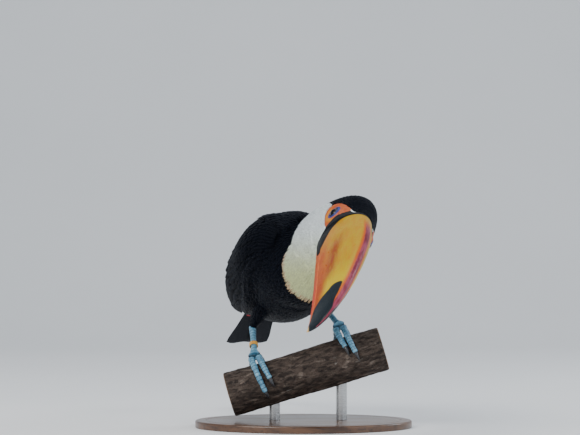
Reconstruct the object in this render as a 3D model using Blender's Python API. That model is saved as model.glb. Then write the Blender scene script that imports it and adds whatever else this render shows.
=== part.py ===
"""Toco toucan gripping a cut branch on a plain stand: a still, life-size model.

The bird faces -Y and leans forward over the branch, its head rolled to its own left, which is +X.
The origin is the middle of the stand's underside.
"""
import math

import bmesh
import bpy
import numpy as np
from mathutils import Matrix, Vector

CM = 0.01
GAP = 0.0003                    # clearance between touching pieces
Z_AXIS = np.array([0.0, 0.0, 1.0])
TO_FRONT = np.array([0.0, -1.0, 0.0])

# Attitude of the trunk and the head, in degrees: yaw towards +X, pitch up, roll to the bird's left.
TRUNK_MIDDLE = np.array([-1.8, 3.0, 17.4]) * CM
TRUNK_YAW, TRUNK_PITCH = 12.0, 17.0
BILL_BASE = np.array([4.3, -13.0, 20.84]) * CM
HEAD_YAW, HEAD_PITCH, HEAD_ROLL = -6.5, -23.6, 47.4

# Body stations in cm: centre (forward, left, up), half width, height above it and depth below it.
TRUNK_STATIONS = [
    (-12.5, 0.0, -0.2, 2.0, 1.2, 1.4),
    (-9.5, 0.0, 0.0, 3.7, 2.8, 3.0),
    (-5.0, 0.0, 0.0, 5.0, 4.6, 4.9),
    (0.0, 0.0, 0.0, 5.3, 5.5, 5.8),
    (4.2, 0.0, 0.0, 5.2, 5.4, 5.5),
    (7.7, 1.5, -1.0, 4.5, 4.3, 5.1),
]
HEAD_STATIONS = [
    (-5.6, 0.2, -2.6, 3.4, 3.1, 3.8),
    (-3.9, 0.0, -0.7, 2.95, 4.2, 3.3),
    (-2.0, 0.0, -0.4, 2.5, 4.0, 3.1),
    (-0.42, 0.0, -0.15, 2.25, 3.45, 3.4),
]
TRUNK_MIDDLE_STATION = 3
NECK_CUTS = (8.3, 13.2)         # where the trunk, neck and head part, in cm from the trunk's middle
BODY_SIDES = 28

# The folded wing rests on this slimmer stretch of rump, then follows the trunk.
WING_REST_STATIONS = [
    (-17.5, 0.0, -0.6, 2.2, 1.7, 1.8),
    (-12.5, 0.0, -0.2, 3.6, 2.5, 3.0),
    (-9.0, 0.0, 0.0, 4.8, 3.4, 4.1),
    (-5.0, 0.0, 0.0, 5.4, 4.65, 5.1),
] + TRUNK_STATIONS[3:]
WING_REST_MIDDLE_STATION = 4
# Wing stations: cm from the trunk's middle, lower and upper edge in degrees, thickness in cm.
WING_STATIONS = [
    (-16.6, 14.0, 40.0, 0.15),
    (-14.5, -4.0, 56.0, 0.3),
    (-11.0, -24.0, 68.0, 0.45),
    (-7.0, -35.0, 72.0, 0.7),
    (-2.0, -32.0, 69.0, 0.9),
    (2.0, -25.0, 60.0, 0.95),
    (4.6, -7.0, 48.0, 0.8),
    (6.8, 10.0, 26.0, 0.3),
]
WING_CLEARANCE = 0.0014
WING_RINGS, WING_STEPS = 24, 9

TAIL_STATIONS = [
    (-27.6, 0.0, -1.7, 1.1, 0.08, 0.08),
    (-27.0, 0.0, -1.65, 1.9, 0.13, 0.13),
    (-25.0, 0.0, -1.5, 2.2, 0.22, 0.24),
    (-20.0, 0.0, -1.0, 2.05, 0.38, 0.42),
    (-15.5, 0.0, -0.5, 1.95, 0.7, 0.8),
    (-12.5, 0.0, -0.2, 2.0, 1.2, 1.4),
]
TAIL_KEYS = [0.0, 0.3, 1.0, 3.0, 6.0, 9.0, 11.5, 13.5]       # cm from the tail's tip
TAIL_SIDES = 16

# Bill outlines in the head's frame, in cm (forward, up), from base to tip.
CULMEN = [(-0.92, 3.3), (1.2, 3.55), (3.8, 3.82), (6.3, 3.75), (9.0, 3.35), (11.6, 2.8), (13.8, 2.12),
          (15.6, 1.3), (16.9, 0.4), (17.8, -0.65), (18.05, -1.8), (17.75, -2.75), (17.35, -3.35)]
TOMIUM = [(-0.3, -0.65), (1.6, -0.85), (4.0, -1.1), (6.3, -1.25), (8.8, -1.35), (11.0, -1.45),
          (12.9, -1.6), (14.4, -1.85), (15.5, -2.15), (16.3, -2.5), (16.9, -2.85), (17.15, -3.1),
          (17.3, -3.3)]
GONYS = [(0.17, -3.55), (2.0, -3.3), (4.3, -3.02), (6.5, -2.88), (8.9, -2.82), (11.1, -2.82),
         (12.8, -2.85), (14.2, -2.92), (15.3, -3.0), (16.1, -3.12), (16.72, -3.22)]
UPPER_HALF_WIDTHS = [2.1, 2.15, 2.05, 1.87, 1.63, 1.38, 1.12, 0.88, 0.66, 0.47, 0.31, 0.17, 0.06]
LOWER_HALF_WIDTHS = [2.05, 2.03, 1.9, 1.7, 1.45, 1.2, 0.95, 0.71, 0.5, 0.29, 0.12]
BILL_RINGS, BILL_STEPS = 20, 9

EYE_RADIUS = 0.7 * CM
EYE_PLACE = np.array([-1.85, 2.2, 0.68]) * CM
EYE_PATCH_LIFT, EYE_PATCH_SPREAD = 0.25 * CM, 1.5 * CM

# The branch: its axis climbs towards +X in the plane Y = 0.
PERCH_MIDDLE = np.array([0.3, 0.0, 6.15]) * CM
PERCH_SLOPE = 16.5
PERCH_RADIUS, PERCH_HALF_LENGTH = 2.5 * CM, 8.9 * CM
PERCH_RINGS, PERCH_SIDES = 16, 20

# Feet: distance of each along the branch from its middle; heels in world cm.
FOOT_PLACES = {"right": -5.0 * CM, "left": 4.9 * CM}
FOOT_ARCHES = {"right": 0.1 * CM, "left": 0.5 * CM}     # lift of the toes' roots off the bark
TOE_REACHES = {"right": 1.0, "left": 0.74}              # how far round the branch the toes go
TOE_SKEWS = {"right": 0.0, "left": 1.0}     # shift of the front toes' tips towards +X, in cm
HEELS = {"right": np.array([-5.7, 3.3, 10.9]) * CM, "left": np.array([2.6, 3.7, 12.8]) * CM}
HEEL_RADIUS, SHANK_RADIUS, ANKLE_RADIUS = 0.42 * CM, 0.33 * CM, 0.48 * CM
FOOT_PAD_SPREAD = 1.55           # the pad over the toes' roots is this much wider along the branch
KNEE_INWARD, KNEE_FORWARD, KNEE_RISE = 2.4 * CM, 3.4 * CM, 4.6 * CM
THIGH_RADIUS = 1.45 * CM
TOE_RADIUS = 0.38 * CM
# Toes: root and tip offset towards the bird's middle in cm, tip angle over the branch in degrees.
TOES = {1: (0.42, 1.0, -70.0), 2: (0.42, 1.0, 78.0), 3: (-0.42, 0.1, 103.0), 4: (-0.42, -1.2, -98.0)}
TOE_START_ANGLE = 6.0
CLAW_GAP_ANGLE, CLAW_ANGLE, CLAW_RADIUS = 2.5, 21.0, 0.24 * CM
CLAW_DRIFT = 0.4                 # how far a claw carries on its toe's slant

RING_PLACE, RING_HEIGHT, RING_WALL = 0.36, 0.45 * CM, 0.1 * CM

BASE_HALF_X, BASE_HALF_Y, BASE_THICKNESS = 12.0 * CM, 8.5 * CM, 0.8 * CM
BASE_BEVEL, BASE_SIDES = 0.2 * CM, 48
ROD_RADIUS = 0.6 * CM
ROD_PLACES = {"stand_rod_1": -3.2 * CM, "stand_rod_2": 4.2 * CM}

MATERIALS = {
    "black_plumage": ((0.012, 0.014, 0.02), 0.6, 0.0),
    "white_plumage": ((0.78, 0.8, 0.62), 0.8, 0.0),
    "yellow_bill": ((0.85, 0.42, 0.02), 0.3, 0.0),
    "orange_bill": ((0.75, 0.2, 0.02), 0.3, 0.0),
    "dark_eye": ((0.02, 0.012, 0.01), 0.08, 0.0),
    "blue_grey_skin": ((0.16, 0.3, 0.38), 0.55, 0.0),
    "dark_horn": ((0.03, 0.03, 0.035), 0.35, 0.0),
    "ring_plastic": ((0.85, 0.5, 0.12), 0.4, 0.0),
    "bark": ((0.09, 0.07, 0.06), 0.9, 0.0),
    "stand_wood": ((0.12, 0.06, 0.03), 0.4, 0.0),
    "stand_steel": ((0.5, 0.5, 0.5), 0.3, 1.0),
}


def attitude(yaw, pitch, roll=0.0):
    """Axes (forward, left, up) as columns, for angles in degrees."""
    y, p, r = (math.radians(a) for a in (yaw, pitch, roll))
    forward = np.array([math.sin(y) * math.cos(p), -math.cos(y) * math.cos(p), math.sin(p)])
    level_up = Z_AXIS - forward * forward[2]
    level_up /= np.linalg.norm(level_up)
    level_left = np.cross(level_up, forward)
    up = math.cos(r) * level_up + math.sin(r) * level_left
    left = math.cos(r) * level_left - math.sin(r) * level_up
    return np.column_stack([forward, left, up])


TRUNK_AXES = attitude(TRUNK_YAW, TRUNK_PITCH)
HEAD_AXES = attitude(HEAD_YAW, HEAD_PITCH, HEAD_ROLL)
PERCH_ALONG = np.array([math.cos(math.radians(PERCH_SLOPE)), 0.0, math.sin(math.radians(PERCH_SLOPE))])
PERCH_UP = np.array([-PERCH_ALONG[2], 0.0, PERCH_ALONG[0]])


def unit(v):
    return v / np.linalg.norm(v)


def smooth(keys, values, key):
    """Value at key of the smooth curve through the keyed values."""
    slopes = np.gradient(values, keys, axis=0)
    i = int(np.clip(np.searchsorted(keys, key) - 1, 0, len(keys) - 2))
    span = keys[i + 1] - keys[i]
    t = np.clip((key - keys[i]) / span, 0.0, 1.0)
    start = values[i] * (1 - 3 * t**2 + 2 * t**3) + slopes[i] * span * (t - 2 * t**2 + t**3)
    return start + values[i + 1] * (3 * t**2 - 2 * t**3) + slopes[i + 1] * span * (t**3 - t**2)


def lengths_along(points):
    """Distance of each point along the line through them all."""
    steps = np.linalg.norm(np.diff(points, axis=0), axis=1)
    return np.concatenate([[0.0], np.cumsum(steps)])


class Loft:
    """A smooth tube through stations, each a centre, an up direction and three radii, in metres."""

    def __init__(self, centres, ups, radii, zero=0):
        centres = np.array(centres)
        keys = lengths_along(centres)
        self.keys = keys - keys[zero]
        self.values = np.hstack([centres, np.array(ups), np.array(radii)])

    def section(self, key):
        """Centre, left, up, tangent and radii of the section at key."""
        value = smooth(self.keys, self.values, key)
        step = 0.0005
        ahead = smooth(self.keys, self.values, min(key + step, self.keys[-1]))[:3]
        behind = smooth(self.keys, self.values, max(key - step, self.keys[0]))[:3]
        tangent = unit(ahead - behind)
        up = unit(value[3:6] - tangent * (value[3:6] @ tangent))
        return value[:3], np.cross(up, tangent), up, tangent, value[6:9]

    def point(self, key, angle, lift=0.0):
        """Surface point at an angle in radians from the left side, towards the back."""
        centre, left, up, _, (width, above, below) = self.section(key)
        height = above if math.sin(angle) > 0 else below
        return (centre + left * (width + lift) * math.cos(angle)
                + up * (height + lift) * math.sin(angle))

    def ring(self, key, sides, shift=0.0, grow=0.0):
        tangent = self.section(key)[3]
        turns = (2 * math.pi * k / sides for k in range(sides))
        return [self.point(key, a, grow) + tangent * shift for a in turns]


def in_frame(origin, axes, row):
    """World place of a station row (forward, left, up, ...) given in cm."""
    return origin + axes @ (np.array(row[:3]) * CM)


def frame_loft(rows):
    """Centres, up directions and radii of stations given in the trunk's frame."""
    centres = [in_frame(TRUNK_MIDDLE, TRUNK_AXES, row) for row in rows]
    ups = [TRUNK_AXES[:, 2]] * len(rows)
    return centres, ups, [np.array(row[3:6]) * CM for row in rows]


def body_loft(rows, zero):
    """Loft from the given trunk stations on through the neck to the base of the bill."""
    centres, ups, radii = frame_loft(rows)
    ups[-1] = 0.75 * TRUNK_AXES[:, 2] + 0.25 * HEAD_AXES[:, 2]
    for row in HEAD_STATIONS:
        centres.append(in_frame(BILL_BASE, HEAD_AXES, row))
        ups.append(HEAD_AXES[:, 2])
        radii.append(np.array(row[3:6]) * CM)
    return Loft(centres, ups, radii, zero)


def make_material(name):
    colour, roughness, metallic = MATERIALS[name]
    material = bpy.data.materials.get(name) or bpy.data.materials.new(name)
    material.use_nodes = True
    shader = material.node_tree.nodes["Principled BSDF"]
    shader.inputs["Base Color"].default_value = (*colour, 1.0)
    shader.inputs["Roughness"].default_value = roughness
    shader.inputs["Metallic"].default_value = metallic
    material.diffuse_color = (*colour, 1.0)
    return material


def add_object(name, material, vertices, faces):
    """A closed mesh object with its normals facing out."""
    mesh = bpy.data.meshes.new(name)
    mesh.from_pydata([tuple(v) for v in vertices], [], faces)
    bm = bmesh.new()
    bm.from_mesh(mesh)
    bmesh.ops.recalc_face_normals(bm, faces=bm.faces)
    bm.to_mesh(mesh)
    bm.free()
    mesh.shade_smooth()
    mesh.set_sharp_from_angle(angle=math.radians(40))
    mesh.materials.append(make_material(material))
    obj = bpy.data.objects.new(name, mesh)
    bpy.context.scene.collection.objects.link(obj)
    return obj


def add_skin(name, material, rings):
    """Closed body over rings with the same number of points, with a flat face at each end."""
    sides = len(rings[0])
    vertices = [p for ring in rings for p in ring]
    faces = [tuple(range(sides)), tuple((len(rings) - 1) * sides + k for k in range(sides))]
    for i in range(len(rings) - 1):
        for k in range(sides):
            a, b = i * sides + k, i * sides + (k + 1) % sides
            faces.append((a, b, b + sides, a + sides))
    return add_object(name, material, vertices, faces)


def add_cut(obj, cutter):
    """Takes the cutter's shape out of the object."""
    cutter.hide_render = True
    cutter.display_type = "WIRE"
    cut = obj.modifiers.new("cut_" + cutter.name, "BOOLEAN")
    cut.operation = "DIFFERENCE"
    cut.solver = "EXACT"
    cut.object = cutter


def add_ball(name, material, centre, radius):
    bm = bmesh.new()
    place = Matrix.Translation(Vector(centre)) @ Matrix(HEAD_AXES).to_4x4()
    bmesh.ops.create_uvsphere(bm, u_segments=14, v_segments=10, radius=radius, matrix=place)
    vertices = [v.co.copy() for v in bm.verts]
    faces = [tuple(v.index for v in face.verts) for face in bm.faces]
    bm.free()
    return add_object(name, material, vertices, faces)


def eye_centre(side):
    place = EYE_PLACE * np.array([1.0, side, 1.0])
    return BILL_BASE + HEAD_AXES @ place


def raise_eye_patches(ring):
    """Lifts the ring's points off the head around each eye, as the bare skin stands out there."""
    lifted = []
    for point in ring:
        for side in (1.0, -1.0):
            distance = np.linalg.norm(point - eye_centre(side)) / EYE_PATCH_SPREAD
            point = point + HEAD_AXES[:, 1] * side * EYE_PATCH_LIFT * math.exp(-distance**2)
        lifted.append(point)
    return lifted


def build_body():
    """Trunk, neck and head, modelled whole and parted by two thin cuts."""
    body = body_loft(TRUNK_STATIONS, TRUNK_MIDDLE_STATION)
    cuts = [body.keys[0]] + [c * CM for c in NECK_CUTS] + [body.keys[-1]]
    names = ("trunk", "neck", "head")
    counts = (22, 6, 12)
    for name, start, end, count in zip(names, cuts[:-1], cuts[1:], counts):
        keys = np.linspace(start, end, count)
        rings = [body.ring(key, BODY_SIDES) for key in keys[1:-1]]
        rings.insert(0, body.ring(start, BODY_SIDES, GAP / 2))
        rings.append(body.ring(end, BODY_SIDES, -GAP / 2))
        if name == "head":
            rings = [raise_eye_patches(ring) for ring in rings]
        obj = add_skin(name, "white_plumage" if name == "neck" else "black_plumage", rings)
        if name == "head":
            cut_eye_sockets(obj)
    return body


def cut_eye_sockets(head):
    for side, name in ((1.0, "left"), (-1.0, "right")):
        centre = eye_centre(side)
        add_ball("eye_" + name, "dark_eye", centre, EYE_RADIUS)
        add_cut(head, add_ball("socket_" + name, "dark_eye", centre, EYE_RADIUS + GAP))


def bill_ring(top, bottom, half_width, bulge, steps):
    """Closed section between two points of the head's middle plane.

    bulge is the power that rounds the flanks; the bottom edge is flat across.
    """
    points = []
    for side in (-1.0, 1.0):
        heights = np.linspace(0.0, 1.0, steps)
        if side > 0:
            heights = heights[-2::-1]
        for v in heights:
            rise = math.sin(v * math.pi / 2)
            y = side * half_width * max(1.0 - rise**bulge, 0.0) ** 0.5
            x, z = np.array(bottom) + (np.array(top) - np.array(bottom)) * rise
            points.append(BILL_BASE + HEAD_AXES @ (np.array([x, y, z]) * CM))
    return points


def read_outline(points, count):
    """Evenly spaced points on the smooth curve through an outline, by station number."""
    values = np.array(points, dtype=float)
    stations = np.arange(len(values), dtype=float)
    return [smooth(stations, values, key) for key in np.linspace(0.0, stations[-1], count)]


def build_bill():
    """Upper and lower bill, parted along the cutting edge."""
    forward_gap = np.array([GAP / CM / 2, 0.0])
    edge_gap = np.array([0.0, GAP / CM / 2])
    culmen = read_outline(CULMEN, BILL_RINGS)
    edge = read_outline(TOMIUM, BILL_RINGS)
    widths = read_outline([(w,) for w in UPPER_HALF_WIDTHS], BILL_RINGS)
    rings = [bill_ring(top + forward_gap, low + forward_gap + edge_gap, w[0], 2.1, BILL_STEPS)
             for top, low, w in zip(culmen, edge, widths)]
    add_skin("bill_upper", "yellow_bill", rings)

    gonys = read_outline(GONYS, BILL_RINGS)
    edge = read_outline(TOMIUM[:len(GONYS)], BILL_RINGS)
    widths = read_outline([(w,) for w in LOWER_HALF_WIDTHS], BILL_RINGS)
    rings = [bill_ring(low + forward_gap, top + forward_gap - edge_gap, w[0], 2.2, BILL_STEPS)
             for low, top, w in zip(gonys, edge, widths)]
    add_skin("bill_lower", "orange_bill", rings)


def build_wing(name, side):
    """Folded wing: a shell over the flank, thin at its edges, with its tip beside the tail."""
    rest = body_loft(WING_REST_STATIONS, WING_REST_MIDDLE_STATION)
    table = np.array(WING_STATIONS)
    rings = []
    middle, reach = table[[0, -1], 0].mean(), np.ptp(table[:, 0]) / 2
    for turn in np.linspace(math.pi, 0.0, WING_RINGS):
        key = middle + reach * math.cos(turn)
        low, high, thickness = smooth(table[:, 0], table[:, 1:], key)
        inner, outer = [], []
        for step in np.linspace(0.0, 1.0, WING_STEPS):
            angle = math.radians(low + (high - low) * step)
            if side < 0:
                angle = math.pi - angle
            swell = 0.3 + 0.7 * math.sin(math.pi * step) ** 0.6
            inner.append(rest.point(key * CM, angle, WING_CLEARANCE))
            outer.append(rest.point(key * CM, angle, WING_CLEARANCE + thickness * swell * CM))
        rings.append(inner + outer[::-1])
    add_skin(name, "black_plumage", rings)


def build_tail(body):
    """Folded tail, its root face parallel to the trunk's end."""
    loft = Loft(*frame_loft(TAIL_STATIONS))
    rings = [loft.ring(key * CM, TAIL_SIDES) for key in TAIL_KEYS]
    rings.append(body.ring(body.keys[0], TAIL_SIDES, -GAP / 2))
    add_skin("tail", "black_plumage", rings)


def perch_radius(along, angle):
    """Radius of the knotty branch at a distance along it and an angle around it, in metres."""
    wave = 0.5 * math.sin(along / (2.1 * CM) + 2 * angle) + 0.5 * math.sin(along / (4.4 * CM) - angle)
    return PERCH_RADIUS + 0.08 * CM * wave


def on_perch(along, angle, height):
    """Point at a height over the branch; the angle turns from its top towards the front."""
    reach = perch_radius(along, angle) + height
    outward = math.cos(angle) * PERCH_UP + math.sin(angle) * TO_FRONT
    return PERCH_MIDDLE + along * PERCH_ALONG + reach * outward


def perch_rings(grow=0.0):
    turns = [2 * math.pi * k / PERCH_SIDES for k in range(PERCH_SIDES)]
    places = np.linspace(-PERCH_HALF_LENGTH, PERCH_HALF_LENGTH, PERCH_RINGS)
    return [[on_perch(along, turn, grow) for turn in turns] for along in places]


def tube_rings(points, radii, sides, up):
    """Round sections across a line of points."""
    rings = []
    for i, (point, radius) in enumerate(zip(points, radii)):
        tangent = unit(points[min(i + 1, len(points) - 1)] - points[max(i - 1, 0)])
        across = unit(np.cross(up, tangent))
        over = np.cross(tangent, across)
        turns = (2 * math.pi * k / sides for k in range(sides))
        rings.append([point + radius * (math.cos(a) * across + math.sin(a) * over) for a in turns])
    return rings


def inward_sign(side_name):
    """Sign of X from a leg towards the bird's middle."""
    return 1.0 if side_name == "right" else -1.0


def ankle_point(side_name):
    """Lower end of the shank, over the roots of the toes."""
    height = 2 * TOE_RADIUS + FOOT_ARCHES[side_name] + 0.09 * CM
    return on_perch(FOOT_PLACES[side_name], 0.0, height)


def shank_rings(side_name, grow=0.0):
    """Sections of the bare shank, from the heel down to the roots of the toes."""
    heel, ankle = HEELS[side_name], ankle_point(side_name)
    places = [0.0, 0.12, 0.35, 0.75, 0.9, 1.0]
    radii = [HEEL_RADIUS, 0.4 * CM, SHANK_RADIUS, SHANK_RADIUS, 0.4 * CM, ANKLE_RADIUS]
    radii = [radius + grow for radius in radii]
    points = [heel + (ankle - heel) * t for t in places]
    rings = tube_rings(points, radii, 12, PERCH_ALONG)
    for i, spread in ((-2, 1.2), (-1, FOOT_PAD_SPREAD)):
        rings[i] = [p + PERCH_ALONG * ((p - ankle) @ PERCH_ALONG) * (spread - 1.0) for p in rings[i]]
    rings[-1] = [p - PERCH_UP * ((p - ankle) @ PERCH_UP) for p in rings[-1]]
    return rings


def build_thigh(side_name, trunk_cutter):
    """Feathered leg above the heel, its upper end cut to the belly."""
    heel = HEELS[side_name]
    downward = unit(ankle_point(side_name) - heel)
    start = heel - downward * GAP
    knee = heel + np.array([KNEE_INWARD * inward_sign(side_name), -KNEE_FORWARD, KNEE_RISE])
    points = [start, start + (knee - start) * 0.12, start + (knee - start) * 0.45, knee]
    radii = [HEEL_RADIUS, HEEL_RADIUS * 1.5, THIGH_RADIUS * 0.75, THIGH_RADIUS]
    rings = tube_rings(points, radii, 16, PERCH_ALONG)
    rings[0] = [p - downward * ((p - start) @ downward) for p in rings[0]]
    thigh = add_skin("thigh_" + side_name, "black_plumage", rings)
    add_cut(thigh, trunk_cutter)
    add_cut(thigh, add_skin("shank_cutter_" + side_name, "black_plumage", shank_rings(side_name, GAP)))


def build_toe(side_name, number):
    """One toe laid over the branch, with its claw."""
    root, tip, end_angle = TOES[number]
    end_angle *= TOE_REACHES[side_name]
    foot, inward = FOOT_PLACES[side_name], inward_sign(side_name)
    skew = TOE_SKEWS[side_name] if end_angle > 0 else 0.0
    root, tip = root * inward * CM, (tip * inward + skew) * CM
    start_angle = math.copysign(TOE_START_ANGLE, end_angle)
    points, radii = [], []
    for t in np.linspace(0.0, 1.0, 8):
        angle = math.radians(start_angle + (end_angle - start_angle) * t)
        along = foot + root + (tip - root) * t**1.5
        radius = TOE_RADIUS * (1.0 - 0.28 * t) * (1.0 + 0.06 * math.cos(6 * math.pi * t))
        arch = FOOT_ARCHES[side_name] * (1.0 - t) ** 2
        points.append(on_perch(along, angle, radius + arch + 0.05 * CM))
        radii.append(radius)
    name = f"{side_name}_{number}"
    add_skin("toe_" + name, "blue_grey_skin", tube_rings(points, radii, 8, PERCH_ALONG))

    claw_points, claw_radii = [], []
    for t in np.linspace(0.0, 1.0, 5):
        angle = math.radians(end_angle + math.copysign(CLAW_GAP_ANGLE + CLAW_ANGLE * t, end_angle))
        arch = radii[-1] * (1.0 + 0.5 * math.sin(math.pi * t) - 0.7 * t) + 0.05 * CM
        claw_points.append(on_perch(foot + tip + CLAW_DRIFT * (tip - root) * t, angle, arch))
        claw_radii.append(CLAW_RADIUS * (1.0 - 0.85 * t))
    add_skin("claw_" + name, "dark_horn", tube_rings(claw_points, claw_radii, 6, PERCH_ALONG))


def build_leg_ring():
    """Identity ring round the right shank."""
    heel, ankle = HEELS["right"], ankle_point("right")
    upward = unit(heel - ankle)
    middle = ankle + (heel - ankle) * RING_PLACE
    inner = SHANK_RADIUS + 2 * GAP
    outer = inner + RING_WALL
    profile = [(inner, -0.5), (outer, -0.5), (outer, 0.5), (inner, 0.5)]
    across = unit(np.cross(upward, PERCH_ALONG))
    over = np.cross(upward, across)
    sides = 20
    vertices, faces = [], []
    for k in range(sides):
        turn = 2 * math.pi * k / sides
        outward = math.cos(turn) * across + math.sin(turn) * over
        vertices += [middle + outward * r + upward * RING_HEIGHT * h for r, h in profile]
        here, there = 4 * k, 4 * ((k + 1) % sides)
        for i in range(4):
            j = (i + 1) % 4
            faces.append((here + i, here + j, there + j, there + i))
    add_object("leg_ring", "ring_plastic", vertices, faces)


def build_stand():
    """Flat oval base with two short rods, their tops cut to the branch."""
    turns = [2 * math.pi * k / BASE_SIDES for k in range(BASE_SIDES)]
    layers = [(0.0, 0.0), (0.0, BASE_THICKNESS - BASE_BEVEL), (-BASE_BEVEL, BASE_THICKNESS)]
    rings = [[np.array([(BASE_HALF_X + inset) * math.cos(a), (BASE_HALF_Y + inset) * math.sin(a), z])
              for a in turns] for inset, z in layers]
    add_skin("stand_base", "stand_wood", rings)
    cutter = add_skin("branch_cutter", "bark", perch_rings(GAP))
    for name, x in ROD_PLACES.items():
        axis_height = PERCH_MIDDLE[2] + (x - PERCH_MIDDLE[0]) * math.tan(math.radians(PERCH_SLOPE))
        ends = [np.array([x, 0.0, BASE_THICKNESS + GAP]), np.array([x, 0.0, axis_height])]
        rod = add_skin(name, "stand_steel", tube_rings(ends, [ROD_RADIUS] * 2, 24, TO_FRONT))
        add_cut(rod, cutter)


def main():
    for obj in list(bpy.data.objects):
        bpy.data.objects.remove(obj)
    body = build_body()
    build_bill()
    build_tail(body)
    trunk_keys = np.linspace(body.keys[0], NECK_CUTS[0] * CM, 22)
    trunk_cutter = add_skin("trunk_cutter", "black_plumage",
                            [body.ring(key, BODY_SIDES, 0.0, GAP) for key in trunk_keys])
    for name, side in (("left", 1.0), ("right", -1.0)):
        build_wing("wing_" + name, side)
        add_skin("shank_" + name, "blue_grey_skin", shank_rings(name))
        build_thigh(name, trunk_cutter)
        for number in TOES:
            build_toe(name, number)
    build_leg_ring()
    add_skin("perch", "bark", perch_rings())
    build_stand()


main()
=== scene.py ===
"""Looks of the toco toucan: one skin, feather vanes, bill, eyes, feet, branch and stand.

The bird faces -Y and its left side is +X. Lengths named in cm are turned to metres by CM.
"""

import contextlib
import math

import bmesh
import bpy
import numpy as np
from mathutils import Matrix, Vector, noise
from mathutils.bvhtree import BVHTree
from mathutils.kdtree import KDTree


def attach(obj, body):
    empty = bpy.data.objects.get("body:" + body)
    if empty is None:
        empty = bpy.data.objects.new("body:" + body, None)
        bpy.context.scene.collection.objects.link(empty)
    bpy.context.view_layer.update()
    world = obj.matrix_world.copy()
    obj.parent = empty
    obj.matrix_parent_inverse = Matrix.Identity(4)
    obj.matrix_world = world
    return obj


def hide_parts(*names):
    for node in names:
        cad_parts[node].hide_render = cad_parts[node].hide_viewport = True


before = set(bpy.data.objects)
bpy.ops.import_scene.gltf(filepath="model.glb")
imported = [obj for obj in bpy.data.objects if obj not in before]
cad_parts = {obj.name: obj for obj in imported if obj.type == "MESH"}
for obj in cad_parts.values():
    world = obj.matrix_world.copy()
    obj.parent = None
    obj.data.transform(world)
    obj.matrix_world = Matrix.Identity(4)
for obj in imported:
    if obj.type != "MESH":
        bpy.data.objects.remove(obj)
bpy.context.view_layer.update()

CM = 0.01
Z_AXIS = np.array([0.0, 0.0, 1.0])
TO_FRONT = np.array([0.0, -1.0, 0.0])

# ---- The CAD's own dimensions -------------------------------------------------------------------
TRUNK_MIDDLE = np.array([-1.8, 3.0, 17.4]) * CM
TRUNK_YAW, TRUNK_PITCH = 12.0, 17.0
BILL_BASE = np.array([4.3, -13.0, 20.84]) * CM
HEAD_YAW, HEAD_PITCH, HEAD_ROLL = -6.5, -23.6, 47.4

# Stations in cm: centre (forward, left, up), half width, height above it and depth below it.
TAIL_STATIONS = [
    (-27.6, 0.0, -1.7, 1.1, 0.08, 0.08),
    (-27.0, 0.0, -1.65, 1.9, 0.13, 0.13),
    (-25.0, 0.0, -1.5, 2.2, 0.22, 0.24),
    (-20.0, 0.0, -1.0, 2.05, 0.38, 0.42),
    (-15.5, 0.0, -0.5, 1.95, 0.7, 0.8),
]
TRUNK_STATIONS = [
    (-12.5, 0.0, -0.2, 2.0, 1.2, 1.4),
    (-9.5, 0.0, 0.0, 3.7, 2.8, 3.0),
    (-5.0, 0.0, 0.0, 5.0, 4.6, 4.9),
    (0.0, 0.0, 0.0, 5.3, 5.5, 5.8),
    (4.2, 0.0, 0.0, 5.2, 5.4, 5.5),
    (7.7, 1.5, -1.0, 4.5, 4.3, 5.1),
]
HEAD_STATIONS = [
    (-5.6, 0.2, -2.6, 3.4, 3.1, 3.8),
    (-3.9, 0.0, -0.7, 2.95, 4.2, 3.3),
    (-2.0, 0.0, -0.4, 2.5, 4.0, 3.1),
    (-0.42, 0.0, -0.15, 2.25, 3.45, 3.4),
]
WING_REST_STATIONS = [
    (-17.5, 0.0, -0.6, 2.2, 1.7, 1.8),
    (-12.5, 0.0, -0.2, 3.6, 2.5, 3.0),
    (-9.0, 0.0, 0.0, 4.8, 3.4, 4.1),
    (-5.0, 0.0, 0.0, 5.4, 4.65, 5.1),
] + TRUNK_STATIONS[3:]
# Wing stations: cm from the trunk's middle, lower and upper edge in degrees, thickness in cm.
WING_STATIONS = np.array([
    (-16.6, 14.0, 40.0, 0.15),
    (-14.5, -4.0, 56.0, 0.3),
    (-11.0, -24.0, 68.0, 0.45),
    (-7.0, -35.0, 72.0, 0.7),
    (-2.0, -32.0, 69.0, 0.9),
    (2.0, -25.0, 60.0, 0.95),
    (4.6, -7.0, 48.0, 0.8),
    (6.8, 10.0, 26.0, 0.3),
])
WING_FIRST, WING_LAST = WING_STATIONS[0, 0], WING_STATIONS[-1, 0]
WING_CLEARANCE = 0.0014

CULMEN = [(-0.92, 3.3), (1.2, 3.55), (3.8, 3.82), (6.3, 3.75), (9.0, 3.35), (11.6, 2.8), (13.8, 2.12),
          (15.6, 1.3), (16.9, 0.4), (17.8, -0.65), (18.05, -1.8), (17.75, -2.75), (17.35, -3.35)]
TOMIUM = [(-0.3, -0.65), (1.6, -0.85), (4.0, -1.1), (6.3, -1.25), (8.8, -1.35), (11.0, -1.45),
          (12.9, -1.6), (14.4, -1.85), (15.5, -2.15), (16.3, -2.5), (16.9, -2.85), (17.15, -3.1),
          (17.3, -3.3)]
GONYS = [(0.17, -3.55), (2.0, -3.3), (4.3, -3.02), (6.5, -2.88), (8.9, -2.82), (11.1, -2.82),
         (12.8, -2.85), (14.2, -2.92), (15.3, -3.0), (16.1, -3.12), (16.72, -3.22)]
UPPER_HALF_WIDTHS = [2.1, 2.15, 2.05, 1.87, 1.63, 1.38, 1.12, 0.88, 0.66, 0.47, 0.31, 0.17, 0.06]
LOWER_HALF_WIDTHS = [2.05, 2.03, 1.9, 1.7, 1.45, 1.2, 0.95, 0.71, 0.5, 0.29, 0.12]

EYE_RADIUS = 0.7                 # cm
EYE_PLACE = np.array([-1.85, 2.2, 0.68])

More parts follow.
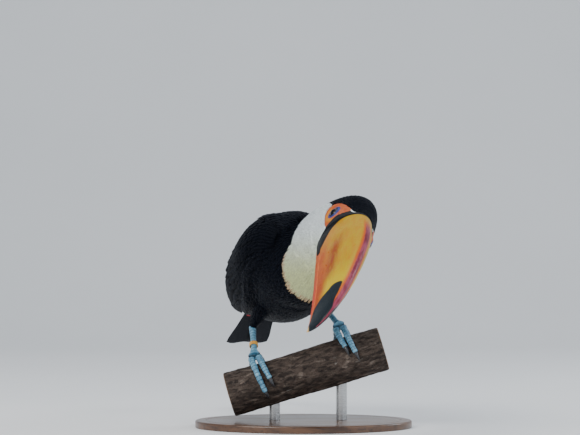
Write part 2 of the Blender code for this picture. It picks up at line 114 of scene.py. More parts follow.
PERCH_MIDDLE = np.array([0.3, 0.0, 6.15]) * CM
PERCH_SLOPE = 16.5
PERCH_RADIUS, PERCH_HALF_LENGTH = 2.5 * CM, 8.9 * CM
FOOT_PLACES = {"right": -5.0 * CM, "left": 4.9 * CM}
FOOT_ARCHES = {"right": 0.1 * CM, "left": 0.5 * CM}
TOE_REACHES = {"right": 1.0, "left": 0.74}
TOE_SKEWS = {"right": 0.0, "left": 1.0}
HEELS = {"right": np.array([-5.7, 3.3, 10.9]) * CM, "left": np.array([2.6, 3.7, 12.8]) * CM}
SHANK_PLATES, TOE_PLATES = 11, 11
HEEL_RADIUS, SHANK_RADIUS, ANKLE_RADIUS = 0.42 * CM, 0.33 * CM, 0.48 * CM
FOOT_PAD_SPREAD = 1.55
KNEE_INWARD, KNEE_FORWARD, KNEE_RISE = 2.4 * CM, 3.4 * CM, 4.6 * CM
THIGH_RADIUS = 1.45 * CM
TOE_RADIUS = 0.38 * CM
TOES = {1: (0.42, 1.0, -70.0), 2: (0.42, 1.0, 78.0), 3: (-0.42, 0.1, 103.0), 4: (-0.42, -1.2, -98.0)}
TOE_START_ANGLE = 6.0
CLAW_GAP_ANGLE, CLAW_ANGLE, CLAW_RADIUS = 2.5, 21.0, 0.24 * CM
CLAW_DRIFT = 0.4
RING_PLACE, RING_HEIGHT, RING_WALL = 0.36, 0.45 * CM, 0.1 * CM
GAP = 0.0003

BASE_HALF_X, BASE_HALF_Y, BASE_THICKNESS = 12.0 * CM, 8.5 * CM, 0.8 * CM

# ---- Coat and skin ------------------------------------------------------------------------------
BODY_COAT, CROWN_COAT = 0.32 * CM, 0.2 * CM      # depth of the feathers
# Lower end of the white bib on the breast, in cm from the trunk's middle, at degrees off the underside.
BIB_END_ANGLES = [0.0, 10.0, 25.0, 40.0, 60.0, 78.0]
BIB_ENDS = [8.3, 8.25, 8.0, 7.85, 8.0, 8.5]
# Half extent of the white bib, in degrees from the underside, at cm from the trunk's middle.
BIB_KEYS = [7.5, 8.0, 8.5, 9.0, 9.8, 10.4, 11.0, 11.5, 12.0, 12.5, 13.0, 14.0, 15.3, 18.6]
BIB_EXTENTS = [66.0, 68.0, 75.0, 77.0, 69.0, 55.0, 48.0, 51.0, 75.0, 100.0, 109.0, 106.0, 103.0, 96.0]
# Reach of the bare orange patch around the eye, cm, at angles from forward towards the crown.
PATCH_ANGLES = [-180, -156, -141, -115, -88, -48, -20, 0, 40, 62, 78, 104, 136, 166, 180]
PATCH_REACHES = [1.93, 1.92, 1.73, 1.53, 1.48, 1.86, 2.6, 2.7, 2.7, 2.25, 1.76, 1.46, 1.46, 1.7, 1.93]
# Place of a painted highlight high on each side of the head above the eye, in head-frame cm.
PAINTED_HIGHLIGHT_SPOT = np.array([-1.4, 1.55, 2.6])
LID_OPENING, BLUE_RING = 0.6, 0.86      # cm from the eye's axis
# Rear edge of the black band round the base of the bill: cm forward at cm up in the head's frame.
BAND_UPS, BAND_EDGES = [-3.5, -1.2, -0.6, 3.3], [-0.2, -0.42, -0.55, -1.45]

BLACK = np.array([0.0030, 0.0040, 0.0072])
WHITE_TOP = np.array([0.80, 0.87, 0.89])
# Lower bib colour: partly its own yellowish tinge, partly painted shade below the bill.
BIB_LOW_TINT_AND_SHADE = np.array([0.72, 0.77, 0.40])
PINK_EDGE = np.array([0.62, 0.26, 0.17])
RUMP_WHITE = np.array([0.82, 0.82, 0.78])
VENT_RED = np.array([0.55, 0.012, 0.01])

# Places along the body, from the trunk's middle.
TRUNK_END, RUMP_START, BREAST_END = -12.5 * CM, -8.6 * CM, 8.8 * CM
FACE_START, BAND_START = 14.0 * CM, 15.0 * CM
COAT_END = TRUNK_END - 2.6 * CM  # behind it the tail's feathers begin
BODY_RADIUS = 5.2                # cm beside the wings


# ---- Directions, curves and the body's surfaces -------------------------------------------------
def unit(v):
    return v / np.linalg.norm(v, axis=-1, keepdims=True)


def round_turn(count):
    """Angles in radians, evenly spaced round a full turn."""
    return np.linspace(0.0, 2 * math.pi, count, endpoint=False)


def grid_of(rows, cols):
    return np.meshgrid(rows, cols, indexing="ij")


def attitude(yaw, pitch, roll=0.0):
    """Axes (forward, left, up) as columns, for angles in degrees."""
    y, p, r = (math.radians(a) for a in (yaw, pitch, roll))
    forward = np.array([math.sin(y) * math.cos(p), -math.cos(y) * math.cos(p), math.sin(p)])
    level_up = unit(Z_AXIS - forward * forward[2])
    level_left = np.cross(level_up, forward)
    up = math.cos(r) * level_up + math.sin(r) * level_left
    left = math.cos(r) * level_left - math.sin(r) * level_up
    return np.column_stack([forward, left, up])


TRUNK_AXES = attitude(TRUNK_YAW, TRUNK_PITCH)
HEAD_AXES = attitude(HEAD_YAW, HEAD_PITCH, HEAD_ROLL)
PERCH_ALONG = np.array([math.cos(math.radians(PERCH_SLOPE)), 0.0, math.sin(math.radians(PERCH_SLOPE))])
PERCH_UP = np.array([-PERCH_ALONG[2], 0.0, PERCH_ALONG[0]])


def ease(x, low, high):
    """0 below low, 1 above high, and smooth between them."""
    t = np.clip((np.asarray(x, float) - low) / (high - low), 0.0, 1.0)
    return t * t * (3.0 - 2.0 * t)


def hermite(keys, values, at):
    """Values at many places of the smooth curve through the keyed values."""
    keys, values, at = np.asarray(keys, float), np.asarray(values, float), np.asarray(at, float)
    slopes = np.gradient(values, keys, axis=0)
    i = np.clip(np.searchsorted(keys, at) - 1, 0, len(keys) - 2)
    span = keys[i + 1] - keys[i]
    t = np.clip((at - keys[i]) / span, 0.0, 1.0)
    if values.ndim > 1:
        t, span = t[:, None], span[:, None]
    start = values[i] * (1 - 3 * t**2 + 2 * t**3) + slopes[i] * span * (t - 2 * t**2 + t**3)
    return start + values[i + 1] * (3 * t**2 - 2 * t**3) + slopes[i + 1] * span * (t**3 - t**2)


def in_head(points):
    """Head-frame places in cm of world points."""
    return (points - BILL_BASE) @ HEAD_AXES / CM


def from_head(places):
    """World points of head-frame places in cm."""
    return BILL_BASE + (np.asarray(places, float) * CM) @ HEAD_AXES.T


def in_trunk(points):
    return (points - TRUNK_MIDDLE) @ TRUNK_AXES / CM


def raise_eye_patches(points):
    """The bare skin stands out round each eye."""
    for side in (1.0, -1.0):
        centre = from_head(EYE_PLACE * [1.0, side, 1.0])
        distance = np.linalg.norm(points - centre, axis=-1, keepdims=True) / (1.5 * CM)
        points = points + HEAD_AXES[:, 1] * side * 0.25 * CM * np.exp(-distance**2)
    return points


class Tube:
    """Smooth tube of oval sections through stations, sampled finely along its spine."""

    def __init__(self, centres, ups, radii, zero, samples=700):
        centres = np.array(centres)
        steps = np.linalg.norm(np.diff(centres, axis=0), axis=1)
        keys = np.concatenate([[0.0], np.cumsum(steps)])
        keys -= keys[zero]
        self.keys = np.linspace(keys[0], keys[-1], samples)
        table = hermite(keys, np.hstack([centres, np.array(ups), np.array(radii)]), self.keys)
        tangent = unit(np.gradient(table[:, :3], self.keys, axis=0))
        up = unit(table[:, 3:6] - tangent * np.sum(table[:, 3:6] * tangent, axis=1, keepdims=True))
        self.columns = np.hstack([table[:, :3], np.cross(up, tangent), up, table[:, 6:9]])

    def section(self, key):
        """Centre, left and up directions, half width, height above and depth below at keys."""
        c = [np.interp(key, self.keys, column) for column in self.columns.T]
        return np.stack(c[:3], -1), np.stack(c[3:6], -1), np.stack(c[6:9], -1), c[9], c[10], c[11]

    def at(self, key, angle, lift=0.0):
        """Surface points; the angle is in radians from the left side, towards the back."""
        key, angle, lift = np.broadcast_arrays(key, angle, lift)
        centre, left, up, width, height, depth = self.section(key)
        rise = (np.where(np.sin(angle) > 0, height, depth) + lift) * np.sin(angle)
        points = centre + left * ((width + lift) * np.cos(angle))[..., None] + up * rise[..., None]
        return raise_eye_patches(points)


def trunk_rows(rows):
    centres = [TRUNK_MIDDLE + TRUNK_AXES @ (np.array(row[:3]) * CM) for row in rows]
    return centres, [TRUNK_AXES[:, 2]] * len(rows), [np.array(row[3:6]) * CM for row in rows]


def body_tube(rows, zero):
    """Tube from the given trunk stations on through the neck to the base of the bill."""
    centres, ups, radii = trunk_rows(rows)
    ups[-1] = 0.75 * TRUNK_AXES[:, 2] + 0.25 * HEAD_AXES[:, 2]
    for row in HEAD_STATIONS:
        centres.append(from_head(row[:3]))
        ups.append(HEAD_AXES[:, 2])
        radii.append(np.array(row[3:6]) * CM)
    return Tube(centres, ups, radii, zero)


BIRD = body_tube(TAIL_STATIONS + TRUNK_STATIONS, len(TAIL_STATIONS) + 3)
REST = body_tube(WING_REST_STATIONS, 4)
TAIL_END, BILL_END = BIRD.keys[0], BIRD.keys[-1]


def with_normals(surface, step=0.001):
    """The surface as a function that gives its points and their outward directions."""
    def at(key, across, lift):
        points = surface(key, across, lift)
        return points, unit(surface(key, across, lift + step) - points)
    return at


def wing_rows(cm):
    """Lower edge, upper edge and thickness of a folded wing at keys in cm."""
    return hermite(WING_STATIONS[:, 0], WING_STATIONS[:, 1:], cm)


def wing_surface(side):
    """Outer face of a folded wing: a function of key, place from lower to upper edge, and lift."""
    def at(key, step, lift=0.0):
        key, step, lift = np.broadcast_arrays(key, step, lift)
        cm = np.clip(key / CM, WING_FIRST, WING_LAST)
        row = wing_rows(cm.ravel()).reshape(cm.shape + (3,))
        angle = np.radians(row[..., 0] + (row[..., 1] - row[..., 0]) * step)
        angle = angle if side > 0 else math.pi - angle
        swell = 0.3 + 0.7 * np.sin(math.pi * np.clip(step, 0.0, 1.0)) ** 0.6
        return REST.at(key, angle, WING_CLEARANCE + row[..., 2] * swell * CM + lift)
    return at


# ---- Markings, the same for skin and coat -------------------------------------------------------
def patch_reach(head):
    """cm inside the edge of the bare skin, for head-frame places; negative outside."""
    forward, up = head[..., 0] - EYE_PLACE[0], head[..., 2] - EYE_PLACE[2]
    reach = np.interp(np.degrees(np.arctan2(up, forward)), PATCH_ANGLES, PATCH_REACHES)
    flank = np.abs(head[..., 1]) - 0.9
    return np.minimum(reach - np.hypot(forward, up), flank)


def patch_depth(head):
    """cm inside the edge of the orange part of the bare skin, which stops short of the bill."""
    return np.minimum(patch_reach(head), -0.68 - 0.24 * head[..., 2] - head[..., 0])


def band_depth(head):
    """cm inside the black band at the base of the bill, for head-frame places."""
    return head[..., 0] - np.interp(head[..., 2], BAND_UPS, BAND_EDGES)


def bib_depth(key, angle):
    """cm inside the edge of the white bib, at a place on the body; negative outside."""
    from_under = np.abs((np.degrees(angle) - 270.0 + 180.0) % 360.0 - 180.0)
    extent = np.interp(key / CM, BIB_KEYS, BIB_EXTENTS)
    on_left = (np.cos(angle) > 0.0) & (key > 8.5 * CM)
    extent = np.where(on_left, np.maximum(extent, 76.0 + 26.0 * ease(key, 9.5 * CM, 13.0 * CM)), extent)
    across = np.radians(extent - from_under) * 4.0
    along = key / CM - np.interp(from_under, BIB_END_ANGLES, BIB_ENDS)
    return np.minimum(across, along)


def plumage(key, angle):
    """Colour of the feathers at places on the body.

    The bib turns darker and yellow-olive towards the breast, partly its own yellowish tinge and partly
    painted shade below the bill; it has a pink fringe there.
    """
    points, depth = BIRD.at(key, angle), bib_depth(key, angle)
    # Painted shade, with some real tinge: the white darkens to yellow-olive lower down.
    low = (1.0 - ease(points[..., 2], 0.165, 0.228))[..., None]
    white = WHITE_TOP * (1 - low) + BIB_LOW_TINT_AND_SHADE * low
    fringe = 0.6 * ((1 - ease(depth, 0.08, 0.26)) * (1 - ease(key / CM, 8.7, 9.6)))[..., None]
    white = white * (1 - fringe) + PINK_EDGE * fringe
    band = (band_depth(in_head(points)) > 0.0) & (key > BAND_START)
    colour = np.where(((depth > 0.0) & ~band)[..., None], white, BLACK)
    rear = (key < RUMP_START) & (key > -17.5 * CM)
    rump = rear & (np.sin(angle) > 0.3) & (np.abs(in_trunk(points)[..., 1]) < 2.4)
    vent = (key < -12.2 * CM) & (np.sin(angle) < -0.3)
    colour = np.where(rump[..., None], RUMP_WHITE, colour)
    return np.where(vent[..., None], VENT_RED, colour)


# ---- Mesh helpers -------------------------------------------------------------------------------
def new_object(name, mesh):
    obj = bpy.data.objects.new(name, mesh)
    bpy.context.scene.collection.objects.link(obj)
    return obj


@contextlib.contextmanager
def editing(mesh):
    """An editable copy of the mesh, written back at the end."""
    bm = bmesh.new()
    bm.from_mesh(mesh)
    yield bm
    bm.to_mesh(mesh)
    bm.free()


def hand_in(obj, material, slot, *replaced):
    """Gives an object its material and its place in the frame."""
    obj.data.materials.append(material)
    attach(obj, "root")
    if replaced:
        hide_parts(*replaced)


def mesh_from(name, vertices, faces):
    """Mesh from arrays; all faces have the same number of corners."""
    mesh = bpy.data.meshes.new(name)
    faces = np.asarray(faces)
    mesh.vertices.add(len(vertices))
    mesh.vertices.foreach_set("co", np.asarray(vertices, np.float32).ravel())
    mesh.loops.add(faces.size)
    mesh.loops.foreach_set("vertex_index", faces.ravel().astype(np.int32))
    mesh.polygons.add(len(faces))
    mesh.polygons.foreach_set("loop_start", np.arange(0, faces.size, faces.shape[1], dtype=np.int32))
    mesh.update(calc_edges=True)
    mesh.validate()
    return mesh


def grid_faces(rows, cols, wrap=True):
    """Quads of a grid of rows x cols vertices, closed round each row if wrap."""
    r, c = np.meshgrid(np.arange(rows - 1), np.arange(cols if wrap else cols - 1), indexing="ij")
    a = r * cols + c
    b = r * cols + (c + 1) % cols
    return np.stack([a, b, b + cols, a + cols], -1).reshape(-1, 4)


def closed_grid(name, grid):
    """Closed mesh over rings (rows, cols, 3), its ends drawn to a point each."""
    rows, cols = grid.shape[:2]
    last = (rows - 1) * cols
    mesh = bpy.data.meshes.new(name)
    with editing(mesh) as bm:
        vs = [bm.verts.new(v) for v in (*grid.reshape(-1, 3), grid[0].mean(0), grid[-1].mean(0))]
        for face in grid_faces(rows, cols):
            bm.faces.new([vs[i] for i in face])
        for k in range(cols):
            bm.faces.new((vs[(k + 1) % cols], vs[k], vs[-2]))
            bm.faces.new((vs[last + k], vs[last + (k + 1) % cols], vs[-1]))
        bmesh.ops.recalc_face_normals(bm, faces=bm.faces)
    mesh.shade_smooth()
    return new_object(name, mesh)


def vertex_array(mesh):
    co = np.empty(len(mesh.vertices) * 3, np.float32)
    mesh.vertices.foreach_get("co", co)
    return co.reshape(-1, 3).astype(float)


def set_vertices(mesh, points):
    mesh.vertices.foreach_set("co", np.asarray(points, np.float32).ravel())
    mesh.update()


def set_values(mesh, **values):
    """Writes named numbers, one for each vertex, for a material to read."""
    for name, numbers in values.items():
        attribute = mesh.attributes.new(name, "FLOAT", "POINT")
        attribute.data.foreach_set("value", np.asarray(numbers, np.float32).ravel())


def set_plumage(mesh, colours):
    attribute = mesh.attributes.new("plumage", "FLOAT_COLOR", "POINT")
    full = np.concatenate([colours, np.ones((len(colours), 1))], axis=1)
    attribute.data.foreach_set("color", full.astype(np.float32).ravel())


def select_only(*objects):
    bpy.ops.object.select_all(action="DESELECT")
    for obj in objects:
        obj.select_set(True)
    bpy.context.view_layer.objects.active = objects[0]


def join(objects, name):
    """Joins mesh objects into the first one."""
    select_only(*objects)
    bpy.ops.object.join()
    objects[0].name = name
    objects[0].data.name = name
    return objects[0]


def remesh(obj, size, smoothing):
    """Melts the object's closed parts into one skin and smooths it that many times."""
    select_only(obj)
    obj.data.remesh_voxel_size = size
    obj.data.remesh_voxel_adaptivity = 0.0
    bpy.ops.object.voxel_remesh()
    with editing(obj.data) as bm:
        for _ in range(smoothing):
            bmesh.ops.smooth_vert(bm, verts=bm.verts, factor=0.5, use_axis_x=True, use_axis_y=True,
                                  use_axis_z=True)


# ---- Material helpers ---------------------------------------------------------------------------
class Shading:
    """Small helper that adds nodes to one material."""

    def __init__(self, name, **sockets):
        self.material = bpy.data.materials.new(name)
        self.material.use_nodes = True
        self.tree = self.material.node_tree
        self.shader = self.tree.nodes["Principled BSDF"]
        for key, value in sockets.items():
            self.shader.inputs[key.replace("_", " ")].default_value = value

    def node(self, kind, settings=None, **inputs):
        node = self.tree.nodes.new(kind)
        for key, value in (settings or {}).items():
            setattr(node, key, value)
        for key, value in inputs.items():
            self.put(node.inputs[key.replace("_", " ")], value)
        return node

    def put(self, socket, value):
        if isinstance(value, bpy.types.NodeSocket):
            self.tree.links.new(value, socket)
        elif isinstance(value, (tuple, list, np.ndarray)) and len(value) == 3 and socket.type == "RGBA":
            socket.default_value = (*value, 1.0)
        else:
            socket.default_value = value

    def attribute(self, name):
        return self.node("ShaderNodeAttribute", {"attribute_name": name})

    def value(self, name):
        return self.attribute(name).outputs["Fac"]

    def noise(self, scale, detail=4.0, roughness=0.55, distortion=0.0, vector=None, stretch=None):
        """Noise in object space, or along a given vector; stretch scales its axes."""
        if vector is None:
            vector = self.node("ShaderNodeTexCoord").outputs["Object"]
        if stretch is not None:
            mapping = self.node("ShaderNodeMapping", Vector=vector)
            mapping.inputs["Scale"].default_value = stretch
            vector = mapping.outputs["Vector"]
        node = self.node("ShaderNodeTexNoise", Vector=vector, Scale=scale, Detail=detail,
                         Roughness=roughness, Distortion=distortion)
        return node.outputs["Fac"]

    def math(self, operation, a, b=0.0):
        node = self.node("ShaderNodeMath", {"operation": operation})
        for socket, value in zip(node.inputs, (a, b)):
            self.put(socket, value)
        return node.outputs[0]

    def times(self, a, b):
        return self.math("MULTIPLY", a, b)

    def plus(self, a, b):
        return self.math("ADD", a, b)

    def minus(self, a, b):
        return self.math("SUBTRACT", a, b)

    def wobble(self, noise, amount):
        """A noise made to swing round nought."""
        return self.times(self.minus(noise, 0.5), amount)

    def span(self, value, low, high, to_low=0.0, to_high=1.0):
        """Smooth step of a value from low to high."""
        node = self.node("ShaderNodeMapRange", {"interpolation_type": "SMOOTHSTEP"})
        for key, number in (("From Min", low), ("From Max", high), ("To Min", to_low), ("To Max", to_high)):
            node.inputs[key].default_value = number
        self.put(node.inputs["Value"], value)
        return node.outputs["Result"]

    def mix(self, amount, a, b, blend="MIX"):
        node = self.node("ShaderNodeMix", {"data_type": "RGBA", "blend_type": blend})
        for index, value in ((0, amount), (6, a), (7, b)):
            self.put(node.inputs[index], value)
        return node.outputs[2]

    def tones(self, value, a, b, low=0.3, high=0.7):
        """A colour that turns from a to b as a value rises."""
        return self.mix(self.span(value, low, high), a, b)

    def bump(self, height, distance, strength):
        node = self.node("ShaderNodeBump", Height=height, Distance=distance, Strength=strength)
        return node.outputs["Normal"]

    def finish(self, colour, roughness=None, normal=None):
        for name, value in (("Base Color", colour), ("Roughness", roughness), ("Normal", normal)):
            if value is not None:
                self.put(self.shader.inputs[name], value)
        return self.material


def coat_material(name, roughness, sheen, tint, gloss, relief):
    """Feather vanes: the root's colour and fine barbs that slant from the shaft."""
    s = Shading(name, Sheen_Weight=sheen, Sheen_Roughness=0.35, Sheen_Tint=(*tint, 1.0),
                Specular_IOR_Level=gloss)
    uv = s.node("ShaderNodeUVMap", {"uv_map": "vane"}).outputs["UV"]
    split = s.node("ShaderNodeSeparateXYZ", Vector=uv)
    across = s.math("ABSOLUTE", s.minus(split.outputs["X"], 0.5))
    slant = s.minus(split.outputs["Y"], s.times(across, 0.5))
    barbs = s.math("SINE", s.times(slant, 260.0))
    fine = s.noise(900.0, 2.0)
    shade = s.span(s.plus(s.times(barbs, 0.12), fine), 0.3, 0.8, 0.78, 1.16)
    plume = s.attribute("plumage").outputs["Color"]
    grey = s.node("ShaderNodeCombineColor", Red=shade, Green=shade, Blue=shade).outputs[0]
    colour = s.mix(1.0, plume, grey, "MULTIPLY")
    shaft = s.span(across, 0.02, 0.05, 0.6, 0.0)
    height = s.plus(s.times(barbs, 0.25), shaft)
    rough = s.span(fine, 0.25, 0.8, roughness - 0.08, roughness + 0.12)
    return s.finish(colour, rough, s.bump(height, relief, 0.7))


# ---- Feather vanes ------------------------------------------------------------------------------
# A vane's half width along its length, as a share of its widest.
VANE_SHAPE = [0.0, 0.25, 0.55, 0.8, 0.93, 1.0], [0.35, 0.85, 1.0, 0.82, 0.5, 0.08]
PATCH_SIZE = 0.003               # of each vane in the OFBake map


class Coat:
    """Collects vanes over one piece and turns them into one joined mesh."""

    def __init__(self):
        self.points, self.quads, self.under = [], [], []
        self.colours, self.patches, self.vanes = [], [], []
        self.laid = []               # the vanes' middle lines on the body, without their roots
        self.count = 0

    def add(self, at, key, across, run, drift, length, width, lifts, colours, root_uv, rows=6,
            thick=0.00022, shape=None, camber=0.16):
        """Adds vanes along a parametric surface.

        at: gives points and outward directions for (key, across, lift). run and drift: change of
        key and across from root to tip. lifts: height over the surface at root and tip. All of
        these but key may be one number for all vanes.
        """
        run, drift, length, width, lift0, lift1 = (
            np.broadcast_to(value, len(key)) for value in (run, drift, length, width, *lifts))
        t = np.linspace(0.0, 1.0, rows)
        key_t = key[:, None] + run[:, None] * t
        across_t = across[:, None] + drift[:, None] * t
        centre, normal = at(key_t, across_t, lift0[:, None] + (lift1 - lift0)[:, None] * t**0.8)
        straight = np.maximum(np.linalg.norm(centre[:, -1] - centre[:, 0], axis=-1), 1e-6)
        centre = centre[:, :1] + (centre - centre[:, :1]) * (length / straight)[:, None, None]
        self.add_lines(centre, normal, width, colours, root_uv, length, thick, shape, camber)

    def add_long(self, at, root, tip, width, lifts, colour, root_uv, shape, thick, camber):
        """Adds one long feather from root to tip, both (key, across) on a surface."""
        root, tip = np.array([root]).T, np.array([tip]).T
        length = np.linalg.norm(at(*tip, np.zeros(1))[0] - at(*root, np.zeros(1))[0], axis=-1)
        self.add(at, *root, *(tip - root), length, width, lifts, colour[None], root_uv[None],
                 rows=len(shape), thick=thick, shape=shape, camber=camber)

    def add_lines(self, centre, normal, width, colours, root_uv, length, thick=0.00022, shape=None,
                  camber=0.16, splay=0.0):
        """Adds vanes of the given half width along lines (vane, row, 3).

        The four corners of each row are the left edge, the shaft on top, the right edge and below.
        """
        n, rows = centre.shape[:2]
        t = np.linspace(0.0, 1.0, rows)
        if shape is None:
            shape = np.interp(t, *VANE_SHAPE)
        tangent = unit(np.gradient(centre, axis=1))
        beside = unit(np.cross(tangent, normal))
        normal = np.cross(beside, tangent)
        half = (width[:, None] * shape)[..., None]
        twist = (np.asarray(splay) * np.ones(n))[:, None, None] * half
        left = centre - beside * half - normal * (half * camber * 1.6) + normal * twist
        right = centre + beside * half - normal * (half * camber * 1.6) - normal * twist
        thickness = thick * (1.0 - 0.6 * t)[None, :, None]
        top = centre + normal * thickness
        bottom = centre - normal * (thickness + half * camber * 0.5)
        block = np.stack([left, top, right, bottom], axis=2)
        base = self.count + np.arange(n)[:, None, None] * rows * 4
        sides = base + grid_faces(rows, 4)[None]
        start = base + np.array([[3, 2, 1, 0]])
        end = base + (rows - 1) * 4 + np.array([[0, 1, 2, 3]])
        below = np.zeros((n, sides.shape[1] + 2), bool)
        below[:, :-2] = np.tile([False, False, True, True], rows - 1)
        self.points.append(block.reshape(-1, 3))
        self.quads.append(np.concatenate([sides, start, end], axis=1).reshape(-1, 4))
        self.under.append(below.ravel())
        self.colours.append(np.repeat(colours, rows * 4, axis=0))
        ones = np.ones((n, rows, 4))
        u = np.array([-0.5, 0.0, 0.5, 0.0]) * ones
        v = (t - 0.5)[:, None] * ones
        patch = root_uv[:, None, None, :] + PATCH_SIZE * np.stack([u, v], -1)
        self.patches.append(patch.reshape(-1, 2))
        along = t[:, None] * ones * (length / CM)[:, None, None] * 0.1
        self.vanes.append(np.stack([u + 0.5, along], -1).reshape(-1, 2))
        self.count += n * rows * 4

    def build(self, name, material, slot):
        quads = np.concatenate(self.quads)
        mesh = mesh_from(name, np.concatenate(self.points), quads)
        mesh.shade_smooth()
        flat = mesh.attributes.new("sharp_face", "BOOLEAN", "FACE")
        flat.data.foreach_set("value", np.concatenate(self.under))
        set_plumage(mesh, np.concatenate(self.colours))
        for layer, values in (("OFBake", self.patches), ("vane", self.vanes)):
            uv = mesh.uv_layers.new(name=layer)
            corners = np.concatenate(values)[quads.ravel()]
            uv.data.foreach_set("uv", corners.astype(np.float32).ravel())
        mesh.uv_layers["OFBake"].active_render = True
        hand_in(new_object(name, mesh), material, slot)


def scatter(rng, key_low, key_high, step, turn_low, turn_high):
    """Staggered places over a stretch of body, about a step in metres apart: keys and angles."""
    keys, angles = [], []
    key, row = key_high, 0
    while key > key_low:
        count = max(3, int(round((turn_high - turn_low) * girth(key) / step)))
        place = (np.arange(count) + 0.5 * (row % 2) + rng.uniform(-0.28, 0.28, count)) / count
        angles.append(turn_low + (turn_high - turn_low) * place)
        keys.append(key + rng.uniform(-0.5, 0.5, count) * step)
        key -= step * 0.82
        row += 1
    return np.concatenate(keys), np.concatenate(angles)


def blacks(rng, low, high, count):
    """Black for each of some vanes, a little lighter or darker by chance."""
    return BLACK[None] * rng.uniform(low, high, count)[:, None]


def spine_direction():
    """Direction of the body's axis at BIRD.keys, evened out over the neck's bend."""
    direction = unit(SLOPE)
    width = int(6.0 * CM / (BIRD.keys[1] - BIRD.keys[0])) // 2
    padded = np.pad(direction, ((width, width), (0, 0)), mode="edge")
    window = np.hanning(2 * width + 1)
    return unit(np.stack([np.convolve(padded[:, i], window, mode="valid") for i in range(3)], -1))


SLOPE = np.gradient(BIRD.columns[:, :3], BIRD.keys, axis=0)
LIE = spine_direction()


def build_form():
    """Outer shape of the body that the coat follows, its folds at the neck's bend filled."""
    key, angle = grid_of(np.linspace(TRUNK_END - 5.0 * CM, BILL_END, 300), round_turn(140))
    obj = closed_grid("form", BIRD.at(key, angle))
    remesh(obj, size=0.0021, smoothing=9)
    vertices = vertex_array(obj.data)
    polygons = [tuple(face.vertices) for face in obj.data.polygons]
    bpy.data.objects.remove(obj)
    return BVHTree.FromPolygons([tuple(v) for v in vertices], polygons), vertices


def nearest_on_form(points):
    """Nearest points of the filled-out body and its outward directions there."""
    found, normals = np.empty_like(points), np.empty_like(points)
    for i, point in enumerate(points):
        found[i], normals[i] = FORM.find_nearest(point)[:2]
    return found, normals


def along_spine(key, table):
    """Rows of a table for BIRD.keys, read at other keys."""
    return np.stack([np.interp(key, BIRD.keys, column) for column in table.T], -1)


def rearward_at(key):
    """Directions towards the tail."""
    return -unit(along_spine(key, LIE))


def walk_back(root, key, length, rows, turn):
    """Lines laid over the body from each root, tailwards, with a turn in radians to the side.

    They sag a little, as feathers do.
    """
    rearward = rearward_at(key)
    point, normal = nearest_on_form(root)
    points, normals = [point], [normal]
    for _ in range(rows - 1):
        along = unit(rearward - normal * np.sum(rearward * normal, axis=1, keepdims=True))
        beside = np.cross(along, normal)
        down = -Z_AXIS - normal * (normal @ -Z_AXIS)[:, None]
        heading = unit(along + beside * turn[:, None] + 0.22 * down)
        point, normal = nearest_on_form(point + heading * (length / (rows - 1))[:, None])
        points.append(point)
        normals.append(normal)
    points, normals = np.stack(points, 1), np.stack(normals, 1)
    normals[:, 1:-1] = unit(normals[:, :-2] + 2 * normals[:, 1:-1] + normals[:, 2:])
    return points, normals


def wing_outline():
    """Places round both wings' edges: key in cm, angle and thickness there in cm."""
    places = []
    for key in np.linspace(WING_FIRST, WING_LAST, 60):
        lower, upper, thick = wing_rows(np.array([key]))[0]
        for edge in np.linspace(lower, upper, 9 if key > 6.0 or key < -16.0 else 2):
            places += [(key, math.radians(degrees), thick) for degrees in (edge, 180.0 - edge)]
    return np.array(places)


WING_OUTLINE = wing_outline()


def beside_wing(key, angle):
    """cm from the wings' outlines at places on the body, negative under a wing, and the edge's depth."""
    shape = np.shape(key)
    key, angle = np.ravel(key) / CM, np.ravel(angle) % (2 * math.pi)
    turn = (angle[:, None] - WING_OUTLINE[:, 1] + math.pi) % (2 * math.pi) - math.pi
    gap = np.hypot(key[:, None] - WING_OUTLINE[:, 0], turn * BODY_RADIUS)
    nearest = gap.argmin(axis=1)
    lower, upper = wing_rows(np.clip(key, WING_FIRST, WING_LAST)).T[:2]
    left = np.degrees(angle)
    left = np.where(left > 270.0, left - 360.0, left)
    under = np.zeros(len(key), bool)
    for degrees in (left, 180.0 - left):
        under |= (degrees > lower) & (degrees < upper)
    under &= (key > WING_FIRST) & (key < WING_LAST)
    distance = gap.min(axis=1) * np.where(under, -1.0, 1.0)
    return distance.reshape(shape), WING_OUTLINE[nearest, 2].reshape(shape)


def shoulder_rise(key, angle):
    """Height in metres of the feathers banked up against the wings' edges."""
    distance, depth = beside_wing(key, angle)
    rise = 0.75 * depth * np.exp(-np.maximum(distance, 0.0) ** 2) * ease(key, -11.0 * CM, -6.0 * CM)
    return rise * CM * (distance > -0.2)


def girth(key):
    """Rough radius of the body in metres at a key."""
    width, height, depth = BIRD.section(key)[3:]
    return 0.25 * (2 * width + height + depth)


def coat_depth(key, angle):
    """Depth in metres of the feathers over the skin; none on the bare patches."""
    depth = BODY_COAT + (CROWN_COAT - BODY_COAT) * ease(key, 12.0 * CM, 14.5 * CM)
    head = in_head(BIRD.at(key, angle))
    bare = ease(patch_reach(head), -0.35, 0.1) * ease(key, FACE_START, 15.0 * CM)
    near_bill = ease(key, BILL_END - 0.8 * CM, BILL_END)
    return depth * (1.0 - bare) * (1.0 - 0.8 * near_bill)


def body_uv(key, angle):
    """Place in the OFBake map of a feather of the body or the tail."""
    u = 0.03 + 0.94 * (key - TAIL_END) / (BILL_END - TAIL_END)
    v = 0.03 + 0.94 * ((angle / (2 * math.pi)) % 1.0)
    return np.stack([u, v], axis=-1)


def not_covered(key, angle, tucked):
    """Whether places lie less than tucked cm in below a wing's edge, and deeper at the rump."""
    return beside_wing(key, angle)[0] > -tucked - 2.0 * ease(-key, 8.0 * CM, 11.0 * CM)


